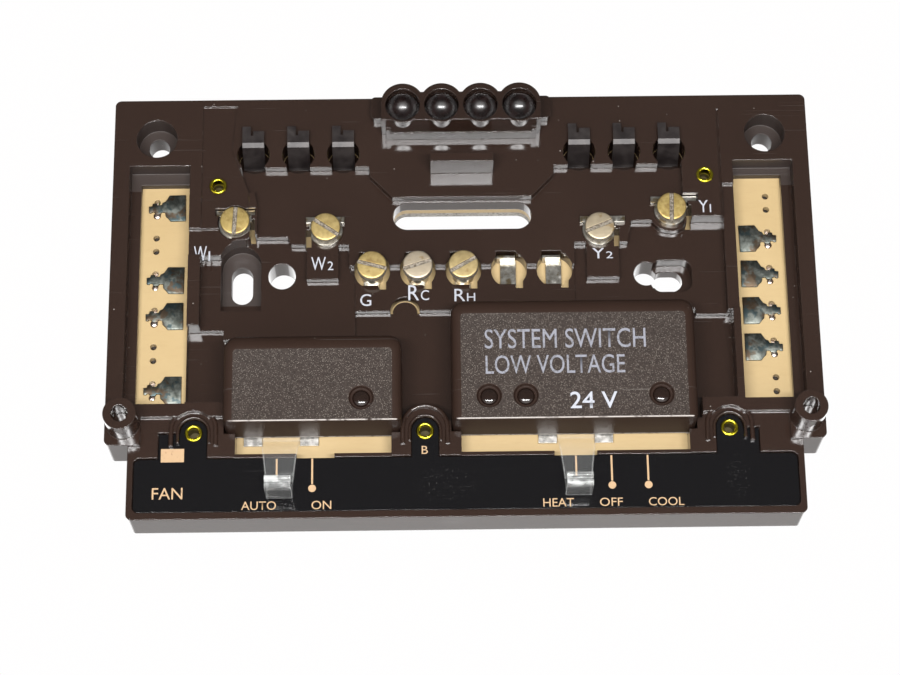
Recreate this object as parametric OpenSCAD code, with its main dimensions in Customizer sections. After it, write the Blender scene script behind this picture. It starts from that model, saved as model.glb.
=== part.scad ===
/* [Body] */
// Width of the base plate across its two ears
body_w = 140; // [138:1:170]
// Height of the base plate
body_h = 88.2; // [86:0.5:108]
// Height of the rim above the wall
body_t = 10.1; // [9.4:0.1:13]
// Wall left at the two long sides of the back cavity
side_wall = 3.4; // [2:0.1:5]
// Wall left at the top and bottom of the back cavity
end_wall = 2.2; // [1.6:0.1:4]
// Height of the narrow lower part that carries the legend
panel_h = 14.8; // [14:0.1:20]
// Step in from the ears to the narrow lower part
ear_step = 4.5; // [2:0.1:7]
// Radius of the outer corners
corner_r = 1.2; // [0.5:0.1:3]

/* [Levels above the wall] */
// Middle floor, around the wire slot
mid_t = 8.1; // [7.6:0.1:8.8]
// Shelf under the terminal row
shelf_t = 6.8; // [6.5:0.1:7.5]
// Floor around the mounting slots
floor_t = 6.4; // [6:0.1:6.7]
// Low floor beside the switch covers
low_t = 5.2; // [5:0.1:5.8]
// Floor of the wells round the mounting slots
well_t = 3; // [2.5:0.1:3.6]
// Panel zone along the bottom
panel_t = 9.2; // [8.8:0.1:9.9]

/* [Circuit board] */
// Thickness of the circuit board
board_t = 1.6; // [1:0.1:1.8]
// Space left behind the circuit board
board_gap = 2.8; // [2.4:0.1:3]
// Clearance of the board all round in its cavity
board_clear = 0.3; // [0.2:0.05:0.6]

/* [Mounting] */
// Radius of the corner screw holes
screw_hole_r = 2.1; // [1.7:0.1:2.6]
// Radius of the corner screw head pockets
screw_pocket_r = 4.1; // [3.5:0.1:4.8]
// Corner hole centres in from the outer sides
screw_in = 8.6; // [8:0.1:10]
// Corner hole centres down from the top
screw_down = 8.5; // [7:0.1:10]
// Width of the two mounting slots
slot_w = 4.3; // [3.6:0.1:5]
// Length of the wire slot
wire_l = 27.8; // [20:0.1:30]
// Height of the wire slot
wire_h = 5.8; // [5:0.1:7]

/* [Terminals] */
// Radius of the terminal screw heads
head_r = 2.95; // [2.4:0.05:3.2]
// Thickness of the terminal screw heads
head_t = 1.9; // [1.4:0.1:2.4]
// Radius of the terminal screw shanks
shank_r = 1.4; // [1.1:0.05:1.6]
// Spacing of the terminal row
terminal_pitch = 9.1; // [9:0.05:9.6]
// Radius of the openings round the terminal row
opening_r = 3.55; // [3.4:0.05:3.8]

/* [Switches] */
// Travel between two switch positions
step_travel = 7; // [5:0.1:7.4]
// Width of the fan switch cover
fan_w = 34.5; // [34:0.1:35]
// Width of the system switch cover
system_w = 47.5; // [47:0.1:48.4]
// Height of the front of both covers above the wall
cover_t = 15; // [13:0.1:17]
// Wall of both covers
cover_wall = 1.2; // [0.9:0.1:1.6]
// Thickness of the clear levers
lever_t = 1.3; // [1:0.1:1.6]
// Height of the lever grips above the wall
grip_t = 16.6; // [14:0.1:18]

/* [Lamps and posts] */
// Spacing of the indicator lamps
lamp_pitch = 7.8; // [7.4:0.1:8.4]
// Radius of the lamp sockets
lamp_r = 3.45; // [2.8:0.05:3.5]
// Height of the lamp housing above the wall
lamp_t = 17; // [14:0.1:20]
// Radius of the two locating posts
post_r = 3.2; // [3:0.05:3.6]
// Bore radius of the two locating posts
post_bore_r = 1.65; // [1:0.05:2]
// Height of the locating posts above the rim
post_rise = 6.6; // [4:0.1:9]

/* [Hidden] */
$fn = 48;
gap = 0.15;                          // fit of one fixed piece inside another
slide_gap = 0.35;                    // free space round everything that slides
over = 1;                            // how far a cutting shape runs past a face
front = 40;                          // a height in front of everything

half_w = body_w / 2;
half_h = body_h / 2;
ear_z = -half_h + panel_h;           // underside of the ears
panel_half = half_w - ear_step;
board_back = board_gap;
board_front = board_gap + board_t;
cavity_w = half_w - side_wall;
cavity_top = half_h - end_wall;
board_low = ear_z - 3.4;             // lower edge of the circuit board

screw_x = half_w - screw_in;
screw_z = half_h - screw_down;
screw_ledge = 5;                     // floor of the corner screw pockets
boss_wall = 1.4;                     // wall of every boss that reaches the wall

window_out = half_w - 3.3;           // outer side of the side windows
window_in = half_w - 15.4;           // inner side of the side windows
window_top = half_h - 14.5;
window_low = ear_z + 8.4;
window_ledge = 2.05;                 // width of the ledge at the outer side of the windows
window_end = 1.3;                    // width of the ledge at their lower end
window_head = [2.5, 1.6];            // and at the upper end, left and right
ledge_t = 6.2;

contact_pitch = 7.77;                // spacing of the side contacts
contact_z0 = -0.75;
contact_x = half_w - 8.4;            // line of the contact rivets
left_contacts = [3, 1, 0, -2];
right_contacts = [2, 1, 0, -1];
contact_t = 0.5;
contact_pin_r = 0.6;
contact_places = [-2, -1, 0, 1, 2, 3];

finger_x0 = 23.8;                    // first contact finger each side
finger_pitch = 9.05;
finger_z = half_h - 12.2;            // middle of the finger openings
finger_w = 4.4;
finger_r = 3.3;
finger_t = 0.5;

oct_top = half_w - 51.4;             // half width of the middle platform
oct_low = 13.9;
mid_top = half_h - 15.15;            // lower edge of the top platform
pocket_low = finger_z - mid_top;     // finger openings below their middle
oct_z = half_h - 21.9;               // underside of the middle platform

wire_z = oct_z - 0.4 - wire_h / 2;

row_z = 7.5;                         // terminal row
row_x0 = -18.1;
row_low = 2.9;                       // flat lower side of the terminal openings
row_slot = 3.75;                     // and of the slot beside it
row_places = [0, 1, 2, 3, 4];
row_screws = [0, 1, 2];
w1 = [-half_w + 24.6, 17.4];
w2 = [-27.3, 15.8];
y2 = [27.4, 15.4];
y1 = [half_w - 28.1, 19.5];
upper_terminals = [w1, w2, y2, y1];
upper_sides = [1, -1, 1, 1];         // side on which each terminal shows the board
upper_bars = [[-3.8, 3.9], [-4, 3.7], [-3.8, 5.2], [-4, 5.2]];
slot_turns = [87, -35, 22, 88, -15, 18, 30];
lug_t = 0.9;
shank_gap = 0.1;
shank_low = 1.2;                     // free end of the terminal screws

shelf_low = -0.9;
shelf_top = 8.3;
shelf_left = -21.5;
shelf_right = 22.3;
left_floor = -half_w + 17.8;
right_floor = half_w - 17.7;
left_bar = -4.6;                     // lower edge of the floor beside the left window
right_bar = -2.1;                    // and beside the right window
right_low = half_w - 16.8;
slot1 = [-44.25, 6.2];               // upright mounting slot
slot1_l = 7.9;
slot2 = [41.05, 6.15];               // level mounting slot
slot2_l = 6;
keyhole = [36.6, 6.65];
keyhole_r = 2.5;
peep = [-36.1, 6.9];                 // round hole beside the upright slot
peep_r = 2.75;
boss = [-11.6, -0.85];               // round boss at the edge of the shelf
boss_r = 2.45;
well_r = 4;

rib_w = 12.5;                        // stop rib on the middle platform
rib_z = [half_h - 16.8, half_h - 14.9];
rib_t = 16.2;

cover_low = ear_z + 2.6;             // lower side of both covers
fan_x = [-46.8, -46.8 + fan_w];
system_x = [-2.6, -2.6 + system_w];
fan_top = cover_low + 18.2;
system_top = cover_low + 25.1;
cover_corner = 2.6;
cover_edge = 1.7;                    // rounded border of the cover fronts
cover_slope = 0.5;                   // the lower wall of a cover leans out this far
cover_lift = 5.75;                   // and ends this high
cover_margin = 1.8;                  // inner width of the cover side walls and their feet
fan_open = [fan_x[0] + 2.1, fan_x[1] - 2.1];
system_open = [system_x[0] + 1.8, system_x[1] - 1.4];
switch_low = ear_z - 2.55;           // lower edge of the switch openings
switch_h = 20;
sill = 0.95;                         // bar along that edge, under the levers
fan_notch = [-32.8, -25.45];         // gap in the bar
system_notch = [17.2, 25.45];
low_wall_z = ear_z + 8.7;            // lower end of the low floor

fan_rest = -36;                      // fan lever at rest, on AUTO
system_rest = 21.6;                  // system lever at rest, on HEAT
lever_w = 7.2;
grip_w = 5.1;
grip_z = [cover_low - 13.3, cover_low - 10.7];
lever_low = board_front + slide_gap; // underside of the levers over the board
lever_thin = 0.65;                   // their thickness under the cover wall
neck_back = 2.6;                     // the thin neck ends this far behind the cover edge
carrier_lift = 0.6;
wiper_t = 0.4;
wiper_half = 7.3;

label_t = 0.6;
label_top_t = panel_t - 0.5;
label_top = switch_low;
label_low = -half_h + 1.6;
label_half = panel_half - 1.3;
step_z = ear_z + 5.7;                // where the rim steps down to the panel
panel_tongue = 4.4;

eyelet_r = 1.75;
eyelet_bore = 1.1;
eyelet_barrel = 1.4;
eyelet_lip = 0.3;
eyelet_low = ear_z + 2.75;
top_eyelets = [[-half_w + 21.1, half_h - 19], [half_w - 21.1, half_h - 17.6]];
low_eyelets = [[-half_w + 17.2, eyelet_low], [-7.85, eyelet_low], [half_w - 18.65, eyelet_low]];

lamp_z = half_h - 4.7;
lamp_wall = 0.85;
lamp_crown = 0.4;                    // the wall above the sockets is this much thicker
lamp_places = [-1.5, -0.5, 0.5, 1.5];
lamp_half = 1.5 * lamp_pitch + lamp_r + lamp_wall;
lamp_flat = 3.3;                     // flat lower side of the sockets
lamp_foot = 4.5;                     // lower side of the housing at its foot
lamp_lip_t = 13;                     // upper edge of the lip along the foot
tier_t = 12;                         // flange behind the housing
tier_half = lamp_half + 2.2;
tab_w = 0.9;                         // ears at both ends of the lip
lens_r = 2.6;
bowl_t = 15;                         // front of the lamp inserts
bowl_r = 3.4;                        // radius of their hollow face
bowl_depth = 2.4;

post_x = half_w - 3.6;
post_z = ear_z + 4.4;

rivets = [[-20.1, cover_low + 5, 0], [4.6, cover_low + 5.1, 1],
          [11.7, cover_low + 5.1, 1], [37.9, cover_low + 5.1, 1]];
rivet_r = 2.3;
rivet_dip = 0.9;

function contact_at(n) = contact_z0 + n * contact_pitch;
function row_at(n) = [row_x0 + n * terminal_pitch, row_z];
function finger_at(n) = n < 3 ? -finger_x0 - (2 - n) * finger_pitch
                              : finger_x0 + (n - 3) * finger_pitch;

lug_names = ["lug_w1", "lug_w2", "lug_y2", "lug_y1",
             "lug_g", "lug_rc", "lug_rh", "lug_spare_1", "lug_spare_2"];

// ---- shared shapes: x right, y up, z out from the wall -----------------

module upright() rotate([90, 0, 0]) children();

module slab(lo, hi) translate([0, 0, lo]) linear_extrude(hi - lo) children();

module rect(x0, y0, x1, y1) translate([x0, y0]) square([x1 - x0, y1 - y0]);

module round_rect(x0, y0, x1, y1, r) {
    rect(x0 + r, y0, x1 - r, y1);
    rect(x0, y0 + r, x1, y1 - r);
    for (x = [x0 + r, x1 - r], y = [y0 + r, y1 - r]) translate([x, y]) circle(r);
}

// A slot with round ends, level or upright
module round_slot(at, length, width, turn = 0) {
    translate(at) rotate(turn) {
        square([length - width, width], center = true);
        for (s = [-1, 1]) translate([s * (length - width) / 2, 0]) circle(width / 2);
    }
}

module both_sides() { children(); mirror([1, 0]) children(); }

// ---- outlines shared by several pieces ---------------------------------

module wire_outline() round_slot([0, wire_z], wire_l, wire_h);

module well_outline(grow = 0) {
    translate(slot1 + [0, 3.2]) circle(well_r + grow);
    rect(slot1[0] - well_r - grow, slot1[1] - 6.5 - grow, slot1[0] + well_r + grow, slot1[1] + 3.2);
    round_rect(slot2[0] - 3.6 - grow, slot2[1] - 3.4 - grow,
               slot2[0] + 4.7 + grow, slot2[1] + 3.4 + grow, 2.2);
    translate(keyhole) circle(keyhole_r + grow);
    translate(peep) circle(peep_r + grow);
}

module corner_bosses(r) both_sides() translate([screw_x, screw_z]) circle(r);

module label_outline(grow = 0) {
    round_rect(-label_half - grow, label_low - grow, label_half + grow, label_top + grow, 1.2);
    rect(low_eyelets[0][0] - 6.7 - grow, label_top - 3, low_eyelets[0][0] + 2.6 + grow,
         eyelet_low - 0.2 + grow);
    rect(low_eyelets[1][0] - 2.6 - grow, label_top - 3, low_eyelets[1][0] + 2.6 + grow,
         eyelet_low);
    rect(low_eyelets[2][0] - 2.6 - grow, label_top - 3, low_eyelets[2][0] + 5.6 + grow,
         eyelet_low - 0.2 + grow);
    for (e = low_eyelets) translate(e) circle(2.6 + grow);
}

// Opening under a cover, with the bar along its lower edge and the gap in the bar
module switch_outline(open, notch) {
    rect(open[0], switch_low + sill, open[1], switch_low + switch_h);
    rect(notch[0], switch_low, notch[1], switch_low + sill + 0.01);
}

module upper_opening(at, side)
    translate(at) rect(side > 0 ? 2.9 : -4.0, -3.4, side > 0 ? 4.0 : -2.9, 0.4);

module row_opening(at) translate(at) {
    intersection() {
        circle(opening_r);
        rect(-opening_r, -row_low, opening_r, opening_r);
    }
    rect(-2.6, 0, 1.4, opening_r + 0.1);
    rect(1.2, -row_slot, 2.75, 0);
}

module upper_pocket(at, bar, grow) translate(at) {
    circle(head_r + 0.4 + grow);
    rect(bar[0] - grow, 1.5 - grow, bar[1] + grow, 2.8 + grow);
}

module finger_opening(x) translate([x, finger_z]) {
    circle(finger_r);
    rect(-finger_w / 2 - gap, -pocket_low, finger_w / 2 + gap, 2.3);
}

// ---- the moulded base plate --------------------------------------------

module body_outline() {
    round_rect(-half_w, ear_z, half_w, half_h, corner_r);
    round_rect(-panel_half, -half_h, panel_half, ear_z + 5, corner_r);
}

// Middle level: between the finger row and the floors below it
module mid_zone() polygon([
    [-half_w + 25.35, mid_top], [-oct_top, mid_top], [-oct_top + 0.2, mid_top - 2],
    [-oct_low, oct_z], [oct_low, oct_z], [oct_top - 0.2, mid_top - 2], [oct_top, mid_top],
    [half_w - 25.7, mid_top], [half_w - 25.7, 5], [-half_w + 29, 5], [-half_w + 29, 20.5],
    [-half_w + 28.4, 23.9], [-half_w + 27.3, 23.6]]);

// Floor round the mounting slots, left and right
module floor_zone() difference() {
    union() {
        polygon([[left_floor, 10.4], [-46, 10.4], [-43, 14.6], [-34.9, 14.6], [-34.2, 12.9],
                 [-22.7, 12.9], [-22.7, 8.6], [shelf_left, 6], [shelf_left, -6.5],
                 [-47.6, -6.5], [-47.6, left_bar], [left_floor, left_bar]]);
        polygon([[33.9, 17.5], [right_floor, 17.5], [right_floor, right_bar],
                 [shelf_right, right_bar], [shelf_right, 12.9], [33, 12.9]]);
    }
    rect(w2[0] - 3.8, 5.5, w2[0] + 2.5, 13.5);
    rect(y2[0] - 2.7, 5.4, y2[0] + 3.8, 13.5);
    translate(w1) circle(4.6);
    translate(y1) circle(4.4);
}

// Low floor round the switch covers
module low_zone() {
    rect(-window_in - 0.01, low_wall_z, -47.6, left_bar);
    rect(-47.61, low_wall_z, shelf_left, -6.5);
    rect(shelf_left - 0.01, low_wall_z - 4, right_low - 7, shelf_low);
    rect(right_low - 7.01, low_wall_z, right_low, right_bar);
    translate(boss) circle(boss_r + 0.45);
}

module shelf_zone() polygon([
    [-22.7, shelf_top], [shelf_right, shelf_top], [shelf_right, shelf_low],
    [shelf_left, shelf_low], [shelf_left, 6]]);

// Shallow steps beside the upper terminals
module side_strip() polygon([
    [-half_w + 17.8, half_h - 1.5], [-half_w + 24.7, half_h - 1.5], [-half_w + 23.8, half_h - 11],
    [-half_w + 25.35, mid_top], [-half_w + 27.3, 23.6], [-half_w + 27.3, 16], [-half_w + 17.8, 16]]);

module letter_pads() {
    rect(-window_in, 10.4, -half_w + 24, 16.01);
    rect(right_floor, right_bar, window_in, half_h - 19.5);
}

// Rim zone above the panel, with a bay round each low eyelet
module panel_zone() {
    difference() {
        rect(-half_w - over, -half_h - over, half_w + over, step_z);
        both_sides() rect(panel_half - 2.4, ear_z - 0.01, half_w + over, step_z + over);
    }
    for (e = [low_eyelets[0], low_eyelets[2]]) translate(e) circle(4.1);
}

module tongue() {
    translate([low_eyelets[1][0], eyelet_low + 1.2]) circle(panel_tongue);
    rect(low_eyelets[1][0] - panel_tongue, step_z - 4,
         low_eyelets[1][0] + panel_tongue, eyelet_low + 1.2);
}

module base_cuts() {
    slab(mid_t, front) {
        mid_zone();
        for (i = [0:3]) upper_pocket(upper_terminals[i], upper_bars[i], gap);
    }
    slab(floor_t, front) floor_zone();
    slab(shelf_t, front) shelf_zone();
    slab(low_t, front) {
        difference() { low_zone(); tongue(); }
        cover_outline(fan_x, fan_top, -gap);
        cover_outline(system_x, system_top, -gap);
    }
    slab(panel_t, front) { panel_zone(); tongue(); letter_pads(); }
    slab(body_t - 0.4, front) side_strip();
    slab(label_top_t - label_t, front) label_outline(gap);
    slab(label_top_t, front) for (o = [fan_open, system_open])
        rect(o[0], switch_low - gap, o[1], switch_low + sill);
    slab(well_t, front) well_outline();
    slab(-over, front) {
        wire_outline();
        round_slot(slot1, slot1_l, slot_w, 90);
        round_slot(slot2, slot2_l, slot_w);
        translate(keyhole) circle(keyhole_r);
        translate(peep) circle(peep_r);
        corner_bosses(screw_hole_r);
        switch_outline(fan_open, fan_notch);
        switch_outline(system_open, system_notch);
        for (p = row_places) row_opening(row_at(p));
        for (i = [0:3]) {
            upper_opening(upper_terminals[i], upper_sides[i]);
            translate(upper_terminals[i]) circle(shank_r + shank_gap);
        }
        for (n = [0:5]) finger_opening(finger_at(n));
        for (e = concat(top_eyelets, low_eyelets)) translate(e) circle(eyelet_barrel + 0.05);
        for (x = lamp_places) translate([x * lamp_pitch, lamp_z]) circle(lens_r + gap);
        for (s = [0, 1]) mirror([1 - s, 0])
            rect(window_in + 0.2, window_low + window_end,
                 window_out - window_ledge, window_top - window_head[s]);
        // crack of light round the boss
        intersection() {
            translate(boss) difference() { circle(boss_r + 0.45); circle(boss_r); }
            rect(-half_w, shelf_low, half_w, shelf_top);
        }
    }
    slab(ledge_t, front) both_sides() rect(window_in, window_low, window_out, window_top);
    slab(screw_ledge, front) corner_bosses(screw_pocket_r);
    slab(body_t - 0.35, front) rect(half_w - 18.2, half_h - 30, half_w - 17.8, half_h - 3);
}

// Cavity for the board, with the bosses that stand through it left in place
module back_cavity() difference() {
    rect(-cavity_w, -half_h + end_wall, cavity_w, cavity_top);
    rect(-half_w, -half_h, half_w, board_low - board_clear);
    both_sides() rect(panel_half - end_wall, -half_h, half_w, ear_z + end_wall);
    corner_bosses(screw_pocket_r + boss_wall);
    well_outline(boss_wall);
}

module base_plate() color([0.26, 0.22, 0.21]) upright() {
    difference() {
        slab(0, body_t) body_outline();
        base_cuts();
        slab(-over, board_front) back_cavity();
        // lightening pocket behind the legend panel
        slab(-over, label_top_t - label_t - 2.4)
            round_rect(-panel_half + end_wall, -half_h + end_wall, panel_half - end_wall,
                       board_low - board_clear - 1.8, 1);
    }
    // locating posts
    difference() {
        both_posts() cylinder(r = post_r, h = post_rise);
        both_posts() translate([0, 0, 1.5]) cylinder(r = post_bore_r, h = post_rise);
    }
    // stop rib on the middle platform
    slab(body_t, rib_t) rect(-rib_w / 2, rib_z[0], rib_w / 2, rib_z[1]);
}

module both_posts() for (s = [-1, 1]) translate([s * post_x, post_z, body_t]) children();

// ---- board, legend and gasket ------------------------------------------

module board_holes() {
    wire_outline();
    corner_bosses(screw_pocket_r + boss_wall + board_clear);
    well_outline(boss_wall + board_clear);
    for (e = concat(top_eyelets, low_eyelets)) translate(e) circle(eyelet_barrel + 0.05);
    for (p = concat(upper_terminals, [for (n = row_screws) row_at(n)]))
        translate(p) circle(shank_r + shank_gap);
    both_sides() for (n = contact_places, s = [-1, 1])
        translate([contact_x, contact_at(n) + s * 1.45]) circle(contact_pin_r + 0.05);
    for (x = lamp_places) translate([x * lamp_pitch, lamp_z]) circle(lens_r + gap);
}

module circuit_board() color([0.88, 0.76, 0.55]) upright() slab(board_back, board_front)
    difference() {
        rect(-cavity_w + board_clear, board_low, cavity_w - board_clear, cavity_top - board_clear);
        both_sides() rect(panel_half - end_wall - board_clear, -half_h, half_w,
                          ear_z + end_wall + board_clear);
        board_holes();
    }

module label_panel() color([0.08, 0.08, 0.08]) upright() slab(label_top_t - label_t, label_top_t)
    difference() {
        label_outline();
        for (e = low_eyelets) translate(e) circle(eyelet_barrel + 0.05);
    }

module wall_gasket() color([0.75, 0.75, 0.72]) upright() slab(board_back - 1.8, board_back)
    difference() {
        round_rect(-wire_l / 2 - 3.2, wire_z - wire_h / 2 - 2, wire_l / 2 + 3.2,
                   wire_z + wire_h / 2 + 3.2, 3);
        wire_outline();
    }

// ---- lamps --------------------------------------------------------------

module lamp_scallops(r, lift = 0)
    for (x = lamp_places) translate([x * lamp_pitch, lamp_z + lift]) circle(r);

module lamp_housing() color([0.27, 0.23, 0.22]) upright() difference() {
    union() {
        slab(body_t, tier_t) round_rect(-tier_half, lamp_z - 0.8, tier_half, lamp_z + 4.1, 1);
        slab(body_t, lamp_t) {
            lamp_scallops(lamp_r + lamp_wall, lamp_crown);
            rect(-lamp_half, lamp_z - lamp_flat, lamp_half, lamp_z + lamp_crown);
            rect(-lamp_half + 3, lamp_z, lamp_half - 3, lamp_z + 2.8);
        }
        // foot: leaning wall over an upright lip
        translate([-lamp_half + tab_w, 0, 0]) rotate([90, 0, 90])
            linear_extrude(2 * lamp_half - 2 * tab_w) polygon([
                [lamp_z, body_t], [lamp_z - lamp_foot, body_t], [lamp_z - lamp_foot, lamp_lip_t],
                [lamp_z - lamp_foot + 0.3, lamp_lip_t], [lamp_z - lamp_flat, lamp_t],
                [lamp_z, lamp_t]]);
        slab(body_t, lamp_lip_t + 1.5) both_sides()
            rect(lamp_half - 2 * tab_w, lamp_z - lamp_foot, lamp_half - tab_w, lamp_z);
    }
    slab(body_t - over, front) lamp_scallops(lens_r + gap);
    slab(body_t + 1.2, front) lamp_scallops(lamp_r);
}

// Lamp insert: stem through the board and a hollow face at the front
module indicator_lamp(n) color([0.35, 0.12, 0.1]) upright()
    translate([lamp_places[n] * lamp_pitch, lamp_z, 0]) difference() {
        union() {
            translate([0, 0, board_back - 0.6]) cylinder(r = lens_r, h = body_t + 2.1 - board_back);
            translate([0, 0, body_t + 1.2]) cylinder(r = lamp_r - gap, h = bowl_t - body_t - 1.2);
        }
        translate([0, 0, bowl_t + bowl_r - bowl_depth]) sphere(bowl_r);
    }

// ---- switch covers, levers and contacts ---------------------------------

module cover_outline(x, top, inset = 0) {
    rect(x[0] + inset, cover_low + inset, x[1] - inset, top - cover_corner);
    rect(x[0] + cover_corner, cover_low + inset, x[1] - cover_corner, top - inset);
    for (cx = [x[0] + cover_corner, x[1] - cover_corner])
        translate([cx, top - cover_corner]) circle(cover_corner - inset);
}

// Half of a cover's side view: upright wall and rounded border, from the edge at 0 inwards
function border() = [[0, low_t], [0, cover_t - cover_edge], [0.3 * cover_edge, cover_t - 0.3 * cover_edge],
                     [cover_edge, cover_t]];
function border_back(at) = [for (p = [3, 2, 1, 0]) [at - border()[p][0], border()[p][1]]];

module cover_block(x, top) intersection() {
    slab(low_t, cover_t) cover_outline(x, top);
    translate([0, top + over, 0]) rotate([90, 0, 0]) linear_extrude(top - cover_low + 2 * over)
        polygon(concat([for (p = border()) [x[0] + p[0], p[1]]], border_back(x[1])));
    translate([x[0] - over, 0, 0]) rotate([90, 0, 90]) linear_extrude(x[1] - x[0] + 2 * over)
        polygon(concat([[cover_low, low_t], [cover_low + cover_slope, cover_t]], border_back(top)));
}

module cover(x, top, which) color([0.3, 0.27, 0.25]) upright() difference() {
    cover_block(x, top);
    slab(low_t - over, cover_t - cover_wall - 0.3) cover_outline(x, top, cover_wall);
    // the lever leaves under the lower wall
    slab(low_t - over, cover_lift)
        rect(x[0] + cover_margin, cover_low - over, x[1] - cover_margin, cover_low + 3);
    for (r = rivets) if (r[2] == which) {
        translate([r[0], r[1], cover_t - rivet_dip]) cylinder(r = rivet_r, h = front);
        translate([r[0], r[1], low_t]) cylinder(r = 0.8, h = front);
    }
}

module fan_cover() cover(fan_x, fan_top, 0);
module system_cover() cover(system_x, system_top, 1);

module cover_rivets() color([0.2, 0.17, 0.16]) upright() for (r = rivets)
    translate([r[0], r[1], 0]) {
        translate([0, 0, cover_t - rivet_dip]) cylinder(r = 1.7, h = 0.5);
        translate([0, 0, cover_t - rivet_dip - 2.4]) cylinder(r = 0.75, h = 2.5);
    }

// Side view of a lever: carrier, thin neck under the cover wall, ramp over the bar,
// tongue and grip
module lever_side(carrier_top) {
    out = label_top_t + slide_gap;
    carrier_low = lever_low + carrier_lift;
    polygon([
        [carrier_top, carrier_low], [cover_low + neck_back, carrier_low],
        [cover_low + 1.9, lever_low], [cover_low - 0.3, lever_low], [switch_low + sill + 0.4, out],
        [grip_z[0], out], [grip_z[0], grip_t - 0.5], [grip_z[0] + 0.5, grip_t],
        [grip_z[1] - 0.5, grip_t], [grip_z[1], grip_t - 0.5], [grip_z[1], out + lever_t],
        [switch_low + 0.6, out + lever_t], [cover_low - 0.7, lever_low + lever_thin],
        [cover_low + 1.9, lever_low + lever_thin], [cover_low + neck_back, carrier_low + lever_t],
        [carrier_top, carrier_low + lever_t]]);
}

module lever_plan(x, carrier_top) {
    polygon([
        [x - lever_w / 2, carrier_top], [x + lever_w / 2, carrier_top],
        [x + lever_w / 2, cover_low - 3], [x + grip_w / 2 + 0.2, grip_z[1] + 1.2],
        [x + grip_w / 2, grip_z[0]], [x - grip_w / 2, grip_z[0]],
        [x - grip_w / 2 - 0.2, grip_z[1] + 1.2], [x - lever_w / 2, cover_low - 3]]);
}

module lever(x, carrier_top) color([0.85, 0.86, 0.86, 0.5]) upright() {
    intersection() {
        translate([x - lever_w, 0, 0]) rotate([90, 0, 90]) linear_extrude(2 * lever_w)
            lever_side(carrier_top);
        slab(0, front) lever_plan(x, carrier_top);
    }
    // carrier block under the cover
    slab(lever_low + carrier_lift + lever_t - 0.2, lever_low + carrier_lift + 4.4)
        rect(x - 4.2, carrier_top - 6.5, x + 4.2, carrier_top - 0.5);
}

fan_carrier = fan_top - cover_wall - 1.4;
system_carrier = system_top - cover_wall - 1.4;

module fan_lever() lever(fan_rest, fan_carrier);
module system_lever() lever(system_rest, system_carrier);

// Sliding contact: a sprung strip that runs on the board, clipped round the lever's neck
module wiper(x) color([0.8, 0.78, 0.72]) upright()
    slab(lever_low, lever_low + wiper_t) difference() {
        rect(x - wiper_half, cover_low - 1.45, x + wiper_half, cover_low + neck_back + 0.6);
        rect(x - lever_w / 2 - 0.1, cover_low - 3, x + lever_w / 2 + 0.1, cover_low + neck_back);
    }

module fan_wiper() wiper(fan_rest);
module system_wiper() wiper(system_rest);

module detent_spring(x, top) color([0.75, 0.74, 0.7]) upright()
    slab(cover_t - cover_wall - 0.3 - 0.5, cover_t - cover_wall - 0.3)
        rect(x[0] + cover_wall + 1, top - cover_wall - 6.5, x[1] - cover_wall - 1, top - cover_wall - 2);

module fan_detent_spring() detent_spring(fan_x, fan_top);
module system_detent_spring() detent_spring(system_x, system_top);

// ---- metal pieces --------------------------------------------------------

module eyelet(at, top) translate([at[0], at[1], 0]) difference() {
    union() {
        translate([0, 0, board_back - eyelet_lip]) cylinder(r = eyelet_barrel, h = top - board_back);
        translate([0, 0, top]) cylinder(r = eyelet_r, h = eyelet_lip);
        translate([0, 0, board_back - eyelet_lip]) cylinder(r = eyelet_r, h = eyelet_lip);
    }
    cylinder(r = eyelet_bore, h = front);
}

module brass_eyelets() color([0.85, 0.72, 0.25]) upright() {
    for (e = top_eyelets) eyelet(e, body_t);
    for (e = low_eyelets) eyelet(e, label_top_t);
}

module terminal_screw(at, seat, turn) translate([at[0], at[1], 0]) difference() {
    union() {
        translate([0, 0, seat]) cylinder(r = head_r, h = head_t);
        translate([0, 0, shank_low]) cylinder(r = shank_r, h = seat - shank_low + 0.1);
    }
    translate([0, 0, seat + head_t]) rotate(turn) cube([3 * head_r, 0.8, 1.6], center = true);
}

upper_seat = mid_t + lug_t;
row_seat = board_front + lug_t + 3.7;

module terminal_screws() color([0.8, 0.66, 0.34]) upright() {
    for (i = [0:3]) terminal_screw(upper_terminals[i], upper_seat, slot_turns[i]);
    for (n = row_screws) terminal_screw(row_at(n), row_seat, slot_turns[4 + n]);
}

module upper_lug(at, bar, side) slab(mid_t, mid_t + lug_t) difference() {
    upper_pocket(at, bar, 0);
    translate(at) circle(shank_r + shank_gap);
    upper_opening(at, side);
}

module row_lug(at, bored) {
    difference() {
        union() {
            slab(board_front, board_front + lug_t) translate(at) rect(-1.7, -2.9, 1.4, 2.6);
            slab(board_front, shelf_t + 0.4) translate(at) rect(-2.4, 2.5, 1.2, 3.1);
            if (bored) slab(board_front, row_seat) translate(at) circle(2.2);
        }
        if (bored) slab(0, front) translate(at) circle(shank_r + shank_gap);
    }
}

module lug(i) color([0.78, 0.78, 0.76]) upright()
    if (i < 4) upper_lug(upper_terminals[i], upper_bars[i], upper_sides[i]);
    else row_lug(row_at(i - 4), i - 4 < len(row_screws));

module side_contact(side, n) color([0.42, 0.43, 0.38]) upright() mirror([side > 0 ? 0 : 1, 0, 0])
    translate([0, contact_at(n), 0]) {
        slab(board_front, board_front + contact_t) {
            rect(contact_x - 5.8, -2.9, contact_x - 1.7, 2.9);
            rect(contact_x - 2, -1.2, contact_x + 1.7, 1.2);
        }
        for (s = [-1, 1]) translate([contact_x, s * 1.45, board_back - 0.5])
            cylinder(r = contact_pin_r, h = board_t + 0.6);
    }

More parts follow.
